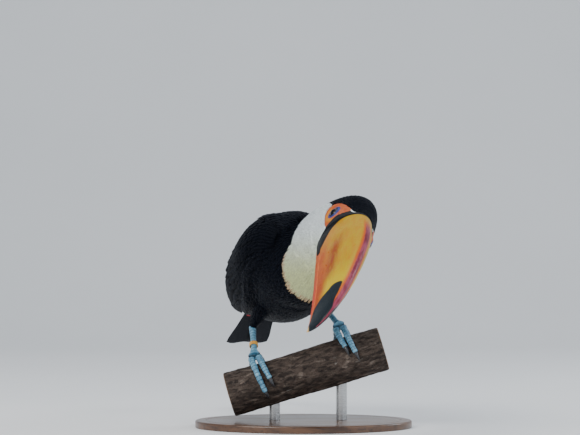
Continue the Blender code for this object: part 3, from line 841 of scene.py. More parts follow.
def add_body_vanes(coat, rng, key, angle, white_ones, length, width, rows, jitter=0.12, out=0.0,
                   shape=None, camber=0.1, ruffle=0.25, root=None):
    """Contour feathers of the body, lying back along it: those of the white bib or all others."""
    root = BIRD.at(key, angle) if root is None else root
    keep = (patch_reach(in_head(root)) < 0.02) | (key < FACE_START)
    keep &= not_covered(key, angle, 0.9)
    length, width = np.broadcast_to(length, len(key)), np.broadcast_to(width, len(key))
    length, width, key, angle, root = (values[keep] for values in (length, width, key, angle, root))
    n = len(key)
    long = length * rng.uniform(0.85, 1.15, n)
    wide = width * rng.uniform(0.85, 1.15, n)
    points, normals = walk_back(root, key, long, rows, rng.normal(0.0, jitter, n))
    coat.laid.append(points[:, 1:].reshape(-1, 3))
    middle = points[:, rows // 2]
    seen = nearest_body_place(middle)
    mine = in_bib(seen, middle) == white_ones
    points, normals, key, angle, long, wide, *seen = (
        values[mine] for values in (points, normals, key, angle, long, wide, *seen))
    n = len(key)
    depth, rise = coat_depth(key, angle), shoulder_rise(key, angle)
    lift0 = -depth * 0.95 + rise * 0.8
    lift1 = -depth * rng.uniform(0.0, ruffle, n) + out + rise
    shade = rng.uniform(0.88, 1.1, n)[:, None]
    t = np.linspace(0.0, 1.0, rows)
    lift = lift0[:, None] + (lift1 - lift0)[:, None] * (1.0 - (1.0 - t) ** 2.2)
    coat.add_lines(points + normals * lift[..., None], normals, wide,
                   np.clip(plumage(*seen) * shade, 0.0, 1.0), body_uv(key, angle), length=long,
                   thick=0.00006 + 0.05 * float(np.mean(wide)), splay=rng.normal(0.0, 0.08, n),
                   shape=shape, camber=camber)


def build_body_coat(black, white):
    """Coats of the trunk, neck and head."""
    rng = np.random.default_rng(11)
    round_tip = np.interp(np.linspace(0.0, 1.0, 6), [0.0, 0.25, 0.6, 0.85, 1.0],
                          [0.4, 0.9, 1.0, 0.8, 0.25])
    silk = np.interp(np.linspace(0.0, 1.0, 5), [0.0, 0.3, 0.6, 1.0], [0.5, 1.0, 0.9, 0.12])

    def stretch(key_low, key_high, spacing, low, high, white_ones):
        """Roots over a stretch of body, apart from those far from the bib or deep inside it."""
        key, angle = scatter(rng, key_low, key_high, spacing, low, high)
        depth = bib_depth(key - 0.35 * CM, angle)
        keep = depth > -0.5 if white_ones else depth < 0.7
        return key[keep], angle[keep]

    # Black feathers of the trunk, nape and crown, with the white rump and the red vent.
    coats = {}
    for name, start, end, low, high in (
            ("coat_back", COAT_END, BREAST_END, 0.0, math.pi),
            ("coat_belly", COAT_END, 0.0, math.pi, 2 * math.pi),
            ("coat_breast", 0.0, BREAST_END, math.pi, 2 * math.pi)):
        coats[name] = Coat()
        key, angle = stretch(start, end, 0.25 * CM, low, high, False)
        long = (1.1 + 0.6 * ease(-key, -6 * CM, 8 * CM)) * CM
        wide = (0.18 + 0.07 * ease(-key, -6 * CM, 5 * CM)) * CM
        add_body_vanes(coats[name], rng, key, angle, False, long, wide, rows=6, shape=round_tip,
                       camber=0.08)
    for name, key_low, key_high, step, long, wide in (
            ("coat_nape", 8.3 * CM, 14.5 * CM, 0.2 * CM, 0.85 * CM, 0.14 * CM),
            ("coat_crown", 14.2 * CM, BILL_END - 0.06 * CM, 0.135 * CM, 0.5 * CM, 0.085 * CM)):
        coats[name] = Coat()
        key, angle = stretch(key_low, key_high, step, 0.0, 2 * math.pi, False)
        add_body_vanes(coats[name], rng, key, angle, False, long, wide, rows=5)

    # The bib: fine silky vanes, laid from the face down to the breast.
    for name, key_low, key_high, step, long, wide in (
            ("coat_bib", 8.0 * CM, 10.4 * CM, 0.1 * CM, 0.62 * CM, 0.062 * CM),
            ("coat_neck", 10.3 * CM, 13.6 * CM, 0.105 * CM, 0.75 * CM, 0.065 * CM),
            ("coat_throat", 13.5 * CM, BILL_END - 0.05 * CM, 0.11 * CM, 0.6 * CM, 0.065 * CM)):
        coats[name] = Coat()
        key, angle = stretch(key_low, key_high, step, 0.0, 2 * math.pi, True)
        puff = 0.0014 * (1.0 - ease(key_low, 8.0 * CM, 10.0 * CM))
        add_body_vanes(coats[name], rng, key, angle, True, long, wide, rows=5, out=0.0003 + puff,
                       shape=silk, jitter=0.08, camber=0.07, ruffle=0.1)

    # Feathers that close what the folds of the neck have left bare.
    coats["coat_folds"] = Coat()
    laid = np.concatenate([line for coat in coats.values() for line in coat.laid])
    place, key, angle = bare_places(rng, laid)
    long = 1.0 * CM
    root = nearest_on_form(place - 0.45 * long * rearward_at(key))[0]
    add_body_vanes(coats["coat_folds"], rng, key, angle, False, long, 0.17 * CM, rows=5, root=root)
    for name, coat in coats.items():
        bib = name in ("coat_bib", "coat_neck", "coat_throat")
        coat.build(name, white if bib else black, "white_plumage" if bib else "black_plumage")


def in_bib(seen, points):
    """Whether places on the coat are the white bib's; the fold behind the neck is black."""
    behind = in_trunk(points)[:, 2] > 2.6
    return (bib_depth(*seen) > 0.0) & ~(behind & (seen[0] < 11.0 * CM))


def bare_places(rng, laid):
    """Places on the body's outer shape, with their keys and angles, that no feather reaches."""
    key, angle = nearest_body_place(FORM_POINTS)
    reach = (0.24 - 0.1 * ease(key, 9.0 * CM, 14.0 * CM)) * CM
    tree = KDTree(len(laid))
    for i, point in enumerate(laid):
        tree.insert(point, i)
    tree.balance()
    far = np.array([tree.find(point)[2] for point in FORM_POINTS]) > reach
    far &= (key > COAT_END) & (key < BILL_END - 0.3 * CM)
    far &= not_covered(key, angle, 0.5)
    far &= (patch_reach(in_head(FORM_POINTS)) < 0.0) | (key < FACE_START)
    # One of them for each small cell.
    far = rng.permutation(np.flatnonzero(far))
    cells = np.floor(FORM_POINTS[far] / (0.15 * CM))
    kept = far[np.unique(cells, axis=0, return_index=True)[1]]
    return FORM_POINTS[kept], key[kept], angle[kept]


def flight_shape(corner):
    """Half widths of a flight feather in 16 rows; corner is the width left near its tip."""
    return np.interp(np.linspace(0.0, 1.0, 16), [0.0, 0.1, 0.3, 0.75, 0.9, 0.97, 1.0],
                     [0.3, 0.7, 0.95, 1.0, 0.8, corner, 0.05])


def wing_uv(key, step):
    """Place in the OFBake map of a feather of a wing."""
    place = (key / CM - WING_FIRST) / (WING_LAST - WING_FIRST)
    return np.stack([0.03 + 0.94 * place, 0.05 + 0.9 * np.clip(step, 0, 1)], -1)


def build_wing_coat(name, side, material):
    rng = np.random.default_rng(23 if side > 0 else 29)
    at = with_normals(wing_surface(side))
    coat = Coat()

    # Primaries, then secondaries and tertials over them.
    for j in range(7):
        root = (-4.5 * CM - 0.4 * CM * j, 0.1 + 0.05 * j)
        tip = (-16.3 * CM + 0.75 * CM * (6 - j), 0.5 - 0.04 * j)
        coat.add_long(at, root, tip, 0.78 * CM, (-0.0035, -0.0024 + 0.0001 * j), BLACK * 1.1,
                      wing_uv(*root), flight_shape(0.45), thick=0.0004, camber=0.1)
    for j in range(9):
        root = (-0.5 * CM - 0.25 * CM * j, 0.1 + 0.095 * j)
        tip = (-10.2 * CM - 0.45 * CM * j * (1.0 - 0.04 * j), 0.12 + 0.085 * j)
        coat.add_long(at, root, tip, 0.82 * CM, (-0.003, -0.0018 + 0.00018 * j), BLACK,
                      wing_uv(*root), flight_shape(0.75), thick=0.0004, camber=0.1)

    # Three rows of large coverts: key, length and half width in cm, number and stagger.
    for place, long, wide, n, stagger in ((-0.8, 3.4, 0.62, 12, 0.0), (0.9, 2.8, 0.52, 15, 0.25),
                                          (2.2, 2.2, 0.42, 18, 0.0)):
        step = (np.arange(n) + 0.5 + stagger) / (n + 0.5)
        key = place * CM + rng.uniform(-0.08, 0.08, n) * CM
        coat.add(at, key, step, -long * CM, rng.normal(0, 0.008, n), long * CM, wide * CM,
                 (-0.0022, -0.0003), blacks(rng, 0.85, 1.2, n), wing_uv(key, step), rows=8,
                 thick=0.0003, camber=0.12)

    # Small coverts that shrink towards the shoulder.
    key, row = 6.7 * CM, 0
    while key > 1.6 * CM:
        n = int(np.interp(key / CM, [1.6, 4.0, 6.7], [24, 20, 8]))
        step = (np.arange(n) + 0.5 * (row % 2) + 0.25) / n
        size = np.interp(key / CM, [1.6, 6.7], [1.7, 0.8]) * CM
        coat.add(at, key + rng.uniform(-0.1, 0.1, n) * CM, step + rng.normal(0, 0.006, n),
                 -size, rng.normal(0, 0.01, n), size, size * 0.27,
                 (-0.0022, -0.0002 + rng.uniform(-0.0003, 0.0002, n)), blacks(rng, 0.8, 1.2, n),
                 wing_uv(np.full(n, key), step))
        key -= size * 0.3
        row += 1

    # A soft border of small feathers over the wing's edges, in pairs.
    for edge, inward in ((0.0, 1.0), (1.0, -1.0)):
        for place in np.arange(-8.5, 6.0, 0.33):
            step = edge + np.array([0.0, 0.045]) * inward + rng.normal(0, 0.01, 2)
            key = place * CM + rng.uniform(-0.1, 0.1, 2) * CM
            coat.add(at, key, step, -1.3 * CM, rng.normal(0, 0.01, 2), 1.3 * CM, 0.26 * CM,
                     (-0.0012, -0.0001), blacks(rng, 0.8, 1.2, 2), wing_uv(key, step))
    coat.build(name, material, "black_plumage")


def tail_surface(key, across, lift=0.0):
    """Upper face of the tail: across runs from -1 on the right to 1 on the left."""
    key, across, lift = np.broadcast_arrays(key, across, lift)
    centre, left, up, width, height, _ = BIRD.section(key)
    crown = np.sqrt(np.clip(1.0 - across**2, 0.0, 1.0))
    return centre + left * (width * across)[..., None] + up * (height * (crown - 0.4) + lift)[..., None]


def build_tail_coat(material):
    """Ten square-ended tail feathers, the middle pair on top."""
    coat = Coat()
    square = np.interp(np.linspace(0.0, 1.0, 22), [0.0, 0.15, 0.5, 0.93, 0.98, 1.0],
                       [0.5, 0.75, 0.9, 1.0, 0.8, 0.25])
    for j, place in reversed(list(enumerate([0.12, 0.34, 0.54, 0.7, 0.82]))):
        for side in (1.0, -1.0):
            root = (TRUNK_END + 0.2 * CM, side * place * 0.55)
            tip = (TAIL_END + (0.25 + 0.22 * j) * CM, side * place * 0.9)
            lift = 0.0016 - 0.0011 * j
            coat.add_long(with_normals(tail_surface), root, tip, 0.95 * CM, (lift * 0.6, lift),
                          BLACK * (1.0 + 0.05 * j), body_uv(root[0], 1.57 - side * 0.2 * j), square,
                          thick=0.00045, camber=0.08)
    coat.build("coat_tail", material, "black_plumage")


# ---- Legs ---------------------------------------------------------------------------------------
def perch_radius(along, angle):
    wave = 0.5 * np.sin(along / (2.1 * CM) + 2 * angle) + 0.5 * np.sin(along / (4.4 * CM) - angle)
    return PERCH_RADIUS + 0.08 * CM * wave


def on_perch(along, angle, height):
    """Point at a height over the branch; the angle turns from its top towards the front."""
    reach = np.asarray(perch_radius(along, angle) + height)[..., None]
    outward = np.cos(angle)[..., None] * PERCH_UP + np.sin(angle)[..., None] * TO_FRONT
    return PERCH_MIDDLE + np.asarray(along)[..., None] * PERCH_ALONG + reach * outward


def tube_grid(points, radii, sides, up, relief=None):
    """Round sections across a line of points; relief scales each point's radius."""
    points = np.asarray(points)
    tangent = unit(np.gradient(points, axis=0))
    across = unit(np.cross(up, tangent))
    over = np.cross(tangent, across)
    turn = round_turn(sides)
    ring = np.cos(turn)[None, :, None] * across[:, None] + np.sin(turn)[None, :, None] * over[:, None]
    reach = np.asarray(radii)[:, None] * np.ones(sides)
    if relief is not None:
        reach = reach * relief(np.linspace(0.0, 1.0, len(points))[:, None], turn[None, :])
    return points[:, None] + ring * reach[..., None]


def inward_sign(side):
    return 1.0 if side == "right" else -1.0


def ankle_point(side):
    height = 2 * TOE_RADIUS + FOOT_ARCHES[side] + 0.09 * CM
    return on_perch(FOOT_PLACES[side], 0.0, height)


def shank_relief(t, turn):
    """Overlapping plates down the front of the shank."""
    phase = (t * SHANK_PLATES) % 1.0
    step = ease(phase, 0.0, 0.18) * (1.0 - 0.35 * phase) - 0.6
    return 0.97 + 0.14 * step * ease(0.5 + 0.5 * np.sin(turn), 0.25, 0.75)


def shank_line(side, count):
    """Middle line and radii of a shank, and the share of its length at each point."""
    heel, ankle = HEELS[side], ankle_point(side)
    t = np.linspace(0.0, 1.0, count)
    radii = np.interp(t, [0.0, 0.12, 0.35, 0.75, 0.9, 1.0],
                      [HEEL_RADIUS, 0.4 * CM, SHANK_RADIUS, SHANK_RADIUS, 0.4 * CM, ANKLE_RADIUS])
    return heel + (ankle - heel) * t[:, None], radii, t


def build_legs():
    """Shanks and toes melted into one fine mesh."""
    parts = []
    for side in ("left", "right"):
        points, radii, t = shank_line(side, 90)
        grid = tube_grid(points, radii * 0.985, 48, PERCH_ALONG, shank_relief)
        ankle = ankle_point(side)
        spread = np.interp(t, [0.0, 0.8, 0.9, 1.0], [0.0, 0.0, 0.2, FOOT_PAD_SPREAD - 1.0])
        grid += PERCH_ALONG * (((grid - ankle) @ PERCH_ALONG) * spread[:, None])[..., None]
        parts.append(closed_grid("shank", grid))
        for number in TOES:
            line, radius = toe_line(side, number)
            grid = tube_grid(line, radius * 0.985, 40, PERCH_ALONG, toe_relief)
            parts.append(closed_grid("toe", grid))
    legs = join(parts, "legs")
    remesh(legs, size=0.00042, smoothing=2)
    return legs


def toe_relief(t, turn):
    """Plates on the toe's upper side and soft pads below."""
    phase = (t * TOE_PLATES) % 1.0
    upper = ease(np.sin(turn) * 0.5 + 0.5, 0.3, 0.8)
    step = ease(phase, 0.0, 0.2) * (1.0 - 0.4 * phase)
    pads = 0.05 * np.cos(t * TOE_PLATES * math.pi)
    return 0.93 + 0.15 * step * upper + pads * (1.0 - upper)


def toe_span(side, number):
    """Where a toe's root and tip lie along the branch from its foot, and its end's angle round it."""
    root, tip, end_angle = TOES[number]
    end_angle = end_angle * TOE_REACHES[side]
    skew = TOE_SKEWS[side] if end_angle > 0 else 0.0
    inward = inward_sign(side)
    return root * inward * CM, (tip * inward + skew) * CM, end_angle


def toe_line(side, number):
    """Middle line and radii of a toe laid over the branch."""
    root_x, tip_x, end_angle = toe_span(side, number)
    start_angle = math.copysign(TOE_START_ANGLE, end_angle)
    t = np.linspace(0.0, 1.0, 130)
    angle = np.radians(start_angle + (end_angle - start_angle) * t)
    radius = TOE_RADIUS * (1.0 - 0.28 * t) * (1.0 + 0.05 * np.cos(6 * math.pi * t))
    arch = FOOT_ARCHES[side] * (1.0 - t) ** 2 + 0.05 * CM
    along = FOOT_PLACES[side] + root_x + (tip_x - root_x) * t**1.5
    return on_perch(along, angle, radius + arch), radius


def thigh_line(side):
    """Heel and knee of a leg."""
    heel = HEELS[side]
    knee = heel + np.array([KNEE_INWARD * inward_sign(side), -KNEE_FORWARD, KNEE_RISE])
    return heel, knee


def thigh_surface(side):
    """Surface of the feathered leg: key 0 at the heel to 1 at the knee, and an angle."""
    heel, knee = thigh_line(side)
    axis = unit(knee - heel)
    across = unit(np.cross(PERCH_ALONG, axis))
    over = np.cross(axis, across)

    def at(key, angle, lift=0.0):
        key, angle, lift = np.broadcast_arrays(key, angle, lift)
        radius = np.interp(key, [-0.2, 0.0, 0.12, 0.45, 1.0],
                           [HEEL_RADIUS * 0.8, HEEL_RADIUS, HEEL_RADIUS * 1.5, THIGH_RADIUS * 0.75,
                            THIGH_RADIUS])
        ring = np.cos(angle)[..., None] * across + np.sin(angle)[..., None] * over
        return heel + (knee - heel) * key[..., None] + ring * (radius + lift)[..., None]
    return at


def build_thigh_coat(side, material):
    rng = np.random.default_rng(41 if side == "left" else 43)
    at = with_normals(thigh_surface(side))
    coat = Coat()
    heel, knee = thigh_line(side)
    span = np.linalg.norm(knee - heel)
    for row, height in enumerate(np.linspace(1.0, 0.08, 17)):
        n = int(np.interp(height, [0.0, 1.0], [12, 26]))
        angle = (np.arange(n) + 0.5 * (row % 2) + rng.uniform(-0.25, 0.25, n)) * 2 * math.pi / n
        size = np.interp(height, [0.0, 1.0], [0.75, 1.4]) * CM * rng.uniform(0.85, 1.15, n)
        key = np.full(n, height)
        uv = np.stack([0.05 + 0.9 * key, 0.05 + 0.9 * (angle / (2 * math.pi)) % 0.9], -1)
        coat.add(at, key, angle, -size / span, rng.normal(0, 0.08, n), size, size * 0.22,
                 (-0.0022, -0.0003), blacks(rng, 0.8, 1.15, n), uv)
    coat.build("coat_thigh_" + side, material, "black_plumage")


# ---- Skin ---------------------------------------------------------------------------------------
def build_skin():
    """One skin for trunk, neck, head, wings, tail, thighs, shanks and toes."""
    turn = round_turn(160)
    k, a = grid_of(np.linspace(TRUNK_END - 0.3 * CM, BILL_END + 0.25 * CM, 262), turn)
    body = BIRD.at(k, a, 0.7 * shoulder_rise(k, a) - coat_depth(k, a))
    # The last rows go on a little way into the bill's base.
    forward = from_head(np.array([[1.0, 0.0, 0.0]])) - from_head(np.zeros((1, 3)))
    body += np.maximum(k - BILL_END, 0.0)[..., None] / CM * forward
    parts = [closed_grid("body", body)]

    k, a = grid_of(np.linspace(TRUNK_END - 3.0 * CM, TRUNK_END + 0.6 * CM, 60), turn[::4])
    parts.append(closed_grid("tail_root", BIRD.at(k, a, -0.0018)))

    # A thin core below each wing's feathers, narrower towards the rear.
    k, s = grid_of(np.linspace(-11.0 * CM, 6.4 * CM, 90), np.linspace(-0.44, 0.44, 24))
    s = 0.5 + s * (0.55 + 0.45 * ease(k, -11.0 * CM, -8.0 * CM))
    for side in (1.0, -1.0):
        at = wing_surface(side)
        both = np.concatenate([at(k, s, -0.0115), at(k, s, -0.0035)[:, ::-1]], axis=1)
        parts.append(closed_grid("wing", both))
    k, a = grid_of(np.linspace(-0.06, 1.05, 40), turn[::4])
    for side in ("left", "right"):
        parts.append(closed_grid("thigh", thigh_surface(side)(k, a, -0.0013)))
    body = join(parts, "body_skin")
    remesh(body, size=0.0013, smoothing=4)
    tuck_folds(body)
    refine_face(body)
    legs = build_legs()
    shape_eyes(body)
    skin = join([body, legs], "skin")
    mark_skin(skin.data)
    return skin


def tuck_folds(obj):
    """Sinks the skin below the coat's form in front of the wings, where the neck folds."""
    points = vertex_array(obj.data)
    key, _ = nearest_body_place(points)
    chosen = np.flatnonzero((in_trunk(points)[:, 0] > 6.6) & (key < 12.0 * CM) & (points[:, 2] > 0.14))
    surface, normal = nearest_on_form(points[chosen])
    above = np.sum((points[chosen] - surface) * normal, axis=1) + 1.1 * BODY_COAT
    points[chosen] -= normal * np.maximum(above, 0.0)[:, None]
    set_vertices(obj.data, points)


def refine_face(obj):
    """Splits the faces round the eyes and the bill's base, where the fine folds are."""
    for reach in (2.9, 1.25):
        with editing(obj.data) as bm:
            points = in_head(np.array([v.co for v in bm.verts]))
            near = np.zeros(len(points), bool)
            for side in (1.0, -1.0):
                place = EYE_PLACE * [1.0, side * 1.25, 1.0]
                near |= np.linalg.norm(points - place, axis=1) < reach
            edges = [e for e in bm.edges if near[e.verts[0].index] and near[e.verts[1].index]]
            bmesh.ops.subdivide_edges(bm, edges=edges, cuts=1, use_grid_fill=True)
    with editing(obj.data) as bm:
        bmesh.ops.triangulate(bm, faces=[f for f in bm.faces if len(f.verts) > 4])


def shape_eyes(obj):
    """Opens a shallow socket round each eye, with a lid rim and fine folds."""
    mesh = obj.data
    head = in_head(vertex_array(mesh))
    forward, up = head[:, 0] - EYE_PLACE[0], head[:, 2] - EYE_PLACE[2]
    r, angle = np.hypot(forward, up), np.arctan2(up, forward)
    # Inside the opening the skin goes behind the ball; at its edge it rolls over the ball.
    ball = EYE_PLACE[1] + np.sqrt(np.clip(EYE_RADIUS**2 - r**2, 0.0, None))
    inside = 1.0 - ease(r, LID_OPENING - 0.07, LID_OPENING)
    rim = np.exp(-((r - LID_OPENING - 0.06) / 0.075) ** 2)
    seat = EYE_PLACE[1] + math.sqrt(EYE_RADIUS**2 - LID_OPENING**2) + 0.06
    slope = ease(r, LID_OPENING, BLUE_RING + 0.25)
    rings = np.sin(r * 62.0 + 0.6 * np.sin(3 * angle)) * ease(r, 0.6, 0.7) * (1 - ease(r, 1.3, 2.0))
    rays = np.sin(angle * 17 + 5 * r) * ease(r, 0.7, 1.0) * (1 - ease(r, 1.2, 1.8))
    for side in (1.0, -1.0):
        lateral = head[:, 1] * side
        near = (r < 2.8) & (lateral > 1.0)
        target = seat * (1 - slope) + lateral * slope
        shaped = target + 0.05 * rim + 0.012 * rings + 0.012 * rays
        shaped = shaped * (1 - inside) + (ball - 0.35) * inside
        head[:, 1] = np.where(near, shaped * side, head[:, 1])
    set_vertices(mesh, from_head(head))


def nearest_body_place(points):
    """Key and angle on the body of each point, by the nearest sampled section."""
    spine, table = BIRD.columns[::4, :3], BIRD.keys[::4]
    blocks = [points[start:start + 4000] for start in range(0, len(points), 4000)]
    nearest = [np.linalg.norm(block[:, None] - spine, axis=2).argmin(axis=1) for block in blocks]
    keys = table[np.concatenate(nearest)]
    # One correction along the tangent, then the angle in that section.
    keys = keys + np.sum((points - BIRD.section(keys)[0]) * along_spine(keys, SLOPE), axis=1)
    centre, left, up, width, height, depth = BIRD.section(keys)
    x = np.sum((points - centre) * left, axis=1) / width
    z = np.sum((points - centre) * up, axis=1)
    return keys, np.arctan2(z / np.where(z > 0, height, depth), x) % (2 * math.pi)


FAR = 9.0                        # cm, for places without a marking
LEG_TOP, LEG_GIRTH = 0.14, 0.0065      # where bare legs are looked for: height, and reach of a line
BLOCK = 20000                    # points measured at a time


def mark_skin(mesh):
    """Writes the marking distances that the skin's material reads."""
    points = vertex_array(mesh)
    head = in_head(points)
    key, angle = nearest_body_place(points)
    place = in_trunk(points)
    rump = (key < RUMP_START) & (np.abs(place[:, 1]) < 1.9) & (np.abs(place[:, 2]) < 3.2)
    dark = ((points[:, 2] < 0.112) | (key < 7.0 * CM) | ~in_bib((key, angle), points)) & ~rump
    set_plumage(mesh, np.where(dark[:, None], BLACK, plumage(key, angle)))
    on_head = ease(key, 13.6 * CM, 14.6 * CM)
    from_eye = np.hypot(head[:, 0] - EYE_PLACE[0], head[:, 2] - EYE_PLACE[2])
    # Distance from the painted highlight spot above each eye.
    highlight_gaps = [np.linalg.norm((head - PAINTED_HIGHLIGHT_SPOT * [1.0, side, 1.0]) / [0.45, 0.6, 0.28], axis=1)
            for side in (1.0, -1.0)]
    set_values(mesh, patch=patch_depth(head) * on_head - (1 - on_head) * 2.0,
               eye=np.where(np.abs(head[:, 1]) > 0.8, np.minimum(from_eye, FAR), FAR),
               spot=np.minimum(np.minimum(*highlight_gaps), FAR), below_eye=EYE_PLACE[2] - head[:, 2],
               bill_band=np.where(key > BAND_START, band_depth(head), -1.0))
    mark_legs(mesh, points)


def off_perch(points):
    """Distances along the branch, and what is left of each point's offset from its middle line."""
    offset = points - PERCH_MIDDLE
    along = offset @ PERCH_ALONG
    return along, offset - along[:, None] * PERCH_ALONG


def mark_legs(mesh, points):
    """Marks shanks and toes: bare leg, place among the plates, and how far each point faces out."""
    leg, plate, upper = np.zeros((3, len(points)))
    low = np.flatnonzero(points[:, 2] < LEG_TOP)
    best = np.full(len(low), LEG_GIRTH)
    for side in ("left", "right"):
        lines = [(shank_line(side, 90)[0], SHANK_PLATES, TO_FRONT * 0.8 + Z_AXIS * 0.6)]
        lines += [(toe_line(side, number)[0], TOE_PLATES, None) for number in TOES]
        for line, count, facing in lines:
            for start in range(0, len(low), BLOCK):
                part = slice(start, start + BLOCK)
                gap = np.linalg.norm(points[low[part], None] - line[None, ::2], axis=2)
                nearer = gap.min(axis=1) < best[part]
                best[part][nearer] = gap.min(axis=1)[nearer]
                which, nearest = low[part][nearer], gap.argmin(axis=1)[nearer]
                centre = line[::2][nearest]
                away = unit(off_perch(centre)[1]) if facing is None else facing
                leg[which] = 1.0
                plate[which] = nearest * 2 / (len(line) - 1) * count
                upper[which] = np.sum(unit(points[which] - centre) * away, axis=1)
    set_values(mesh, leg=leg, plate=plate, upper=upper)


def skin_material():
    s = Shading("skin", Specular_IOR_Level=0.5, Subsurface_Weight=0.08, Subsurface_Scale=0.004)
    plume = s.attribute("plumage").outputs["Color"]
    down = s.noise(260.0, 3.0)
    fluff = s.mix(0.7, plume, (0.02, 0.02, 0.022))
    base = s.mix(s.span(down, 0.3, 0.7, 0.0, 0.3), plume, fluff)
    # Orange skin with a yellow crescent below the eye, then the blue ring and a dark lid line.
    mottle = s.noise(420.0, 5.0)
    broad = s.noise(90.0, 3.0)
    orange = s.tones(mottle, (0.45, 0.060, 0.0), (0.50, 0.10, 0.0), 0.35)
    orange = s.mix(s.span(broad, 0.4, 0.75, 0.0, 0.5), orange, (0.40, 0.045, 0.0))
    eye = s.value("eye")
    under = s.span(s.value("below_eye"), 0.0, 0.6)
    ring_near = s.times(s.span(eye, 0.8, 0.95), s.span(eye, 1.5, 1.05))
    orange = s.mix(s.times(s.times(under, ring_near), 0.7), orange, (0.58, 0.25, 0.0))
    wobble = s.wobble(mottle, 0.16)
    inside = s.span(s.plus(s.value("patch"), wobble), -0.02, 0.03)
    face = s.mix(inside, base, orange)
    band = s.span(s.value("bill_band"), -0.03, 0.03)
    face = s.mix(band, face, (0.004, 0.005, 0.007))
    # A near-white painted highlight above each eye, on the black crown.
    spot = s.span(s.plus(s.value("spot"), wobble), 1.08, 0.92)
    face = s.mix(spot, face, (0.8, 0.82, 0.8))
    blue = s.tones(mottle, (0.003, 0.012, 0.13), (0.007, 0.035, 0.26))
    ring = s.span(s.plus(eye, s.times(wobble, 0.3)), BLUE_RING + 0.02, BLUE_RING - 0.04)
    face = s.mix(ring, face, blue)
    lid = s.span(eye, LID_OPENING + 0.1, LID_OPENING + 0.04)
    face = s.mix(lid, face, (0.006, 0.012, 0.05))
    # Legs: pale blue plates with dark joints on the upper side, fine scales below; the plates' paler blue
    # on the side facing up and out is partly their own colour and partly painted highlight.
    phase = s.math("FRACT", s.value("plate"))
    joint = s.math("MINIMUM", s.span(phase, 0.02, 0.2), s.span(phase, 1.0, 0.86))
    above = s.span(s.value("upper"), -0.15, 0.35)
    scale = s.node("ShaderNodeTexVoronoi", {"feature": "DISTANCE_TO_EDGE"},
                   Vector=s.node("ShaderNodeTexCoord").outputs["Object"], Scale=1150.0)
    crease = s.span(scale.outputs["Distance"], 0.0, 0.14)
    tone = s.noise(220.0, 4.0)
    plates = s.tones(tone, (0.06, 0.21, 0.34), (0.20, 0.43, 0.57))
    plates = s.mix(joint, (0.03, 0.085, 0.14), plates)
    scales = s.tones(tone, (0.07, 0.19, 0.29), (0.14, 0.31, 0.42))
    scales = s.mix(crease, s.mix(0.55, scales, (0.02, 0.05, 0.08)), scales)
    leg = s.mix(above, scales, plates)
    colour = s.mix(s.value("leg"), face, leg)
    relief = s.node("ShaderNodeMix", {"data_type": "FLOAT"})
    for index, value in ((0, above), (2, crease), (3, joint)):
        s.put(relief.inputs[index], value)
    height = s.plus(s.times(relief.outputs[0], s.value("leg")), s.times(mottle, 0.6))
    # The feathered parts of the skin are duller than the bare ones.
    bare = s.math("MAXIMUM", s.math("MAXIMUM", inside, ring), s.value("leg"))
    dull = s.times(s.minus(1.0, bare), 0.42)
    rough = s.plus(s.span(mottle, 0.3, 0.7, 0.38, 0.55), dull)
    return s.finish(colour, rough, s.bump(height, 0.00035, 0.8))


# ---- Eyes ---------------------------------------------------------------------------------------
def build_eyes():
    """Glossy balls with a bulging cornea; gaze is the distance in cm from the pupil's middle."""
    s = Shading("eyeball", Roughness=0.05, Coat_Weight=0.15, Coat_Roughness=0.02,
                Specular_IOR_Level=0.22)
    ray = s.value("gaze")
    iris = s.tones(s.noise(700.0, 3.0), (0.003, 0.002, 0.002), (0.016, 0.008, 0.005))
    colour = s.mix(s.span(ray, 0.3, 0.33), (0.001, 0.001, 0.0015), iris)
    colour = s.mix(s.span(ray, 0.5, 0.6), colour, (0.008, 0.012, 0.03))
    material = s.finish(colour)
    t, a = grid_of(np.linspace(0.02, math.pi - 0.02, 48), round_turn(64))
    bulge = 1.0 + 0.05 * np.exp(-(t / 0.42) ** 2)
    for side, name in ((1.0, "left"), (-1.0, "right")):
        ball = np.stack([np.sin(t) * np.cos(a), np.cos(t) * side, np.sin(t) * np.sin(a)], -1)
        grid = from_head(EYE_PLACE * [1.0, side, 1.0] + ball * (EYE_RADIUS - 0.01) * bulge[..., None])
        obj = closed_grid("eyeball_" + name, grid)
        head = in_head(vertex_array(obj.data))
        gaze = np.hypot(head[:, 0] - EYE_PLACE[0] - 0.06, head[:, 2] - EYE_PLACE[2])
        set_values(obj.data, gaze=gaze)
        hand_in(obj, material, "dark_eye", "eye_" + name)


# ---- Bill ---------------------------------------------------------------------------------------
def bill_grid(top, low, widths, bulge, rows, steps, relief):
    """Closed sections (rows, cols, 3) in head-frame cm, with each point's rise from 0 to 1."""
    stations = np.arange(len(top), dtype=float)
    at = np.linspace(0.0, stations[-1], rows)
    top, low = hermite(stations, top, at), hermite(stations, low, at)
    width = hermite(stations, widths, at)
    turn = np.concatenate([np.linspace(0.0, 1.0, steps), np.linspace(1.0, 0.0, steps)[1:]])
    sign = np.concatenate([-np.ones(steps), np.ones(steps - 1)])
    rise = np.sin(turn * math.pi / 2)
    flank = np.sqrt(np.clip(1.0 - rise**bulge, 0.0, None))
    y = sign * width[:, None] * flank
    place = low[:, None] + (top - low)[:, None] * rise[None, :, None]
    grid = np.stack([place[..., 0], y, place[..., 1]], -1)
    return relief(grid, at / stations[-1], rise[None, :] * np.ones((rows, 1)))


def outline_at(outline, x):
    """Height of a bill outline at places forward, both in cm."""
    points = hermite(np.arange(len(outline)), np.array(outline), np.linspace(0, len(outline) - 1, 400))
    order = np.maximum.accumulate(points[:, 0])
    return np.interp(x, order, points[:, 1])


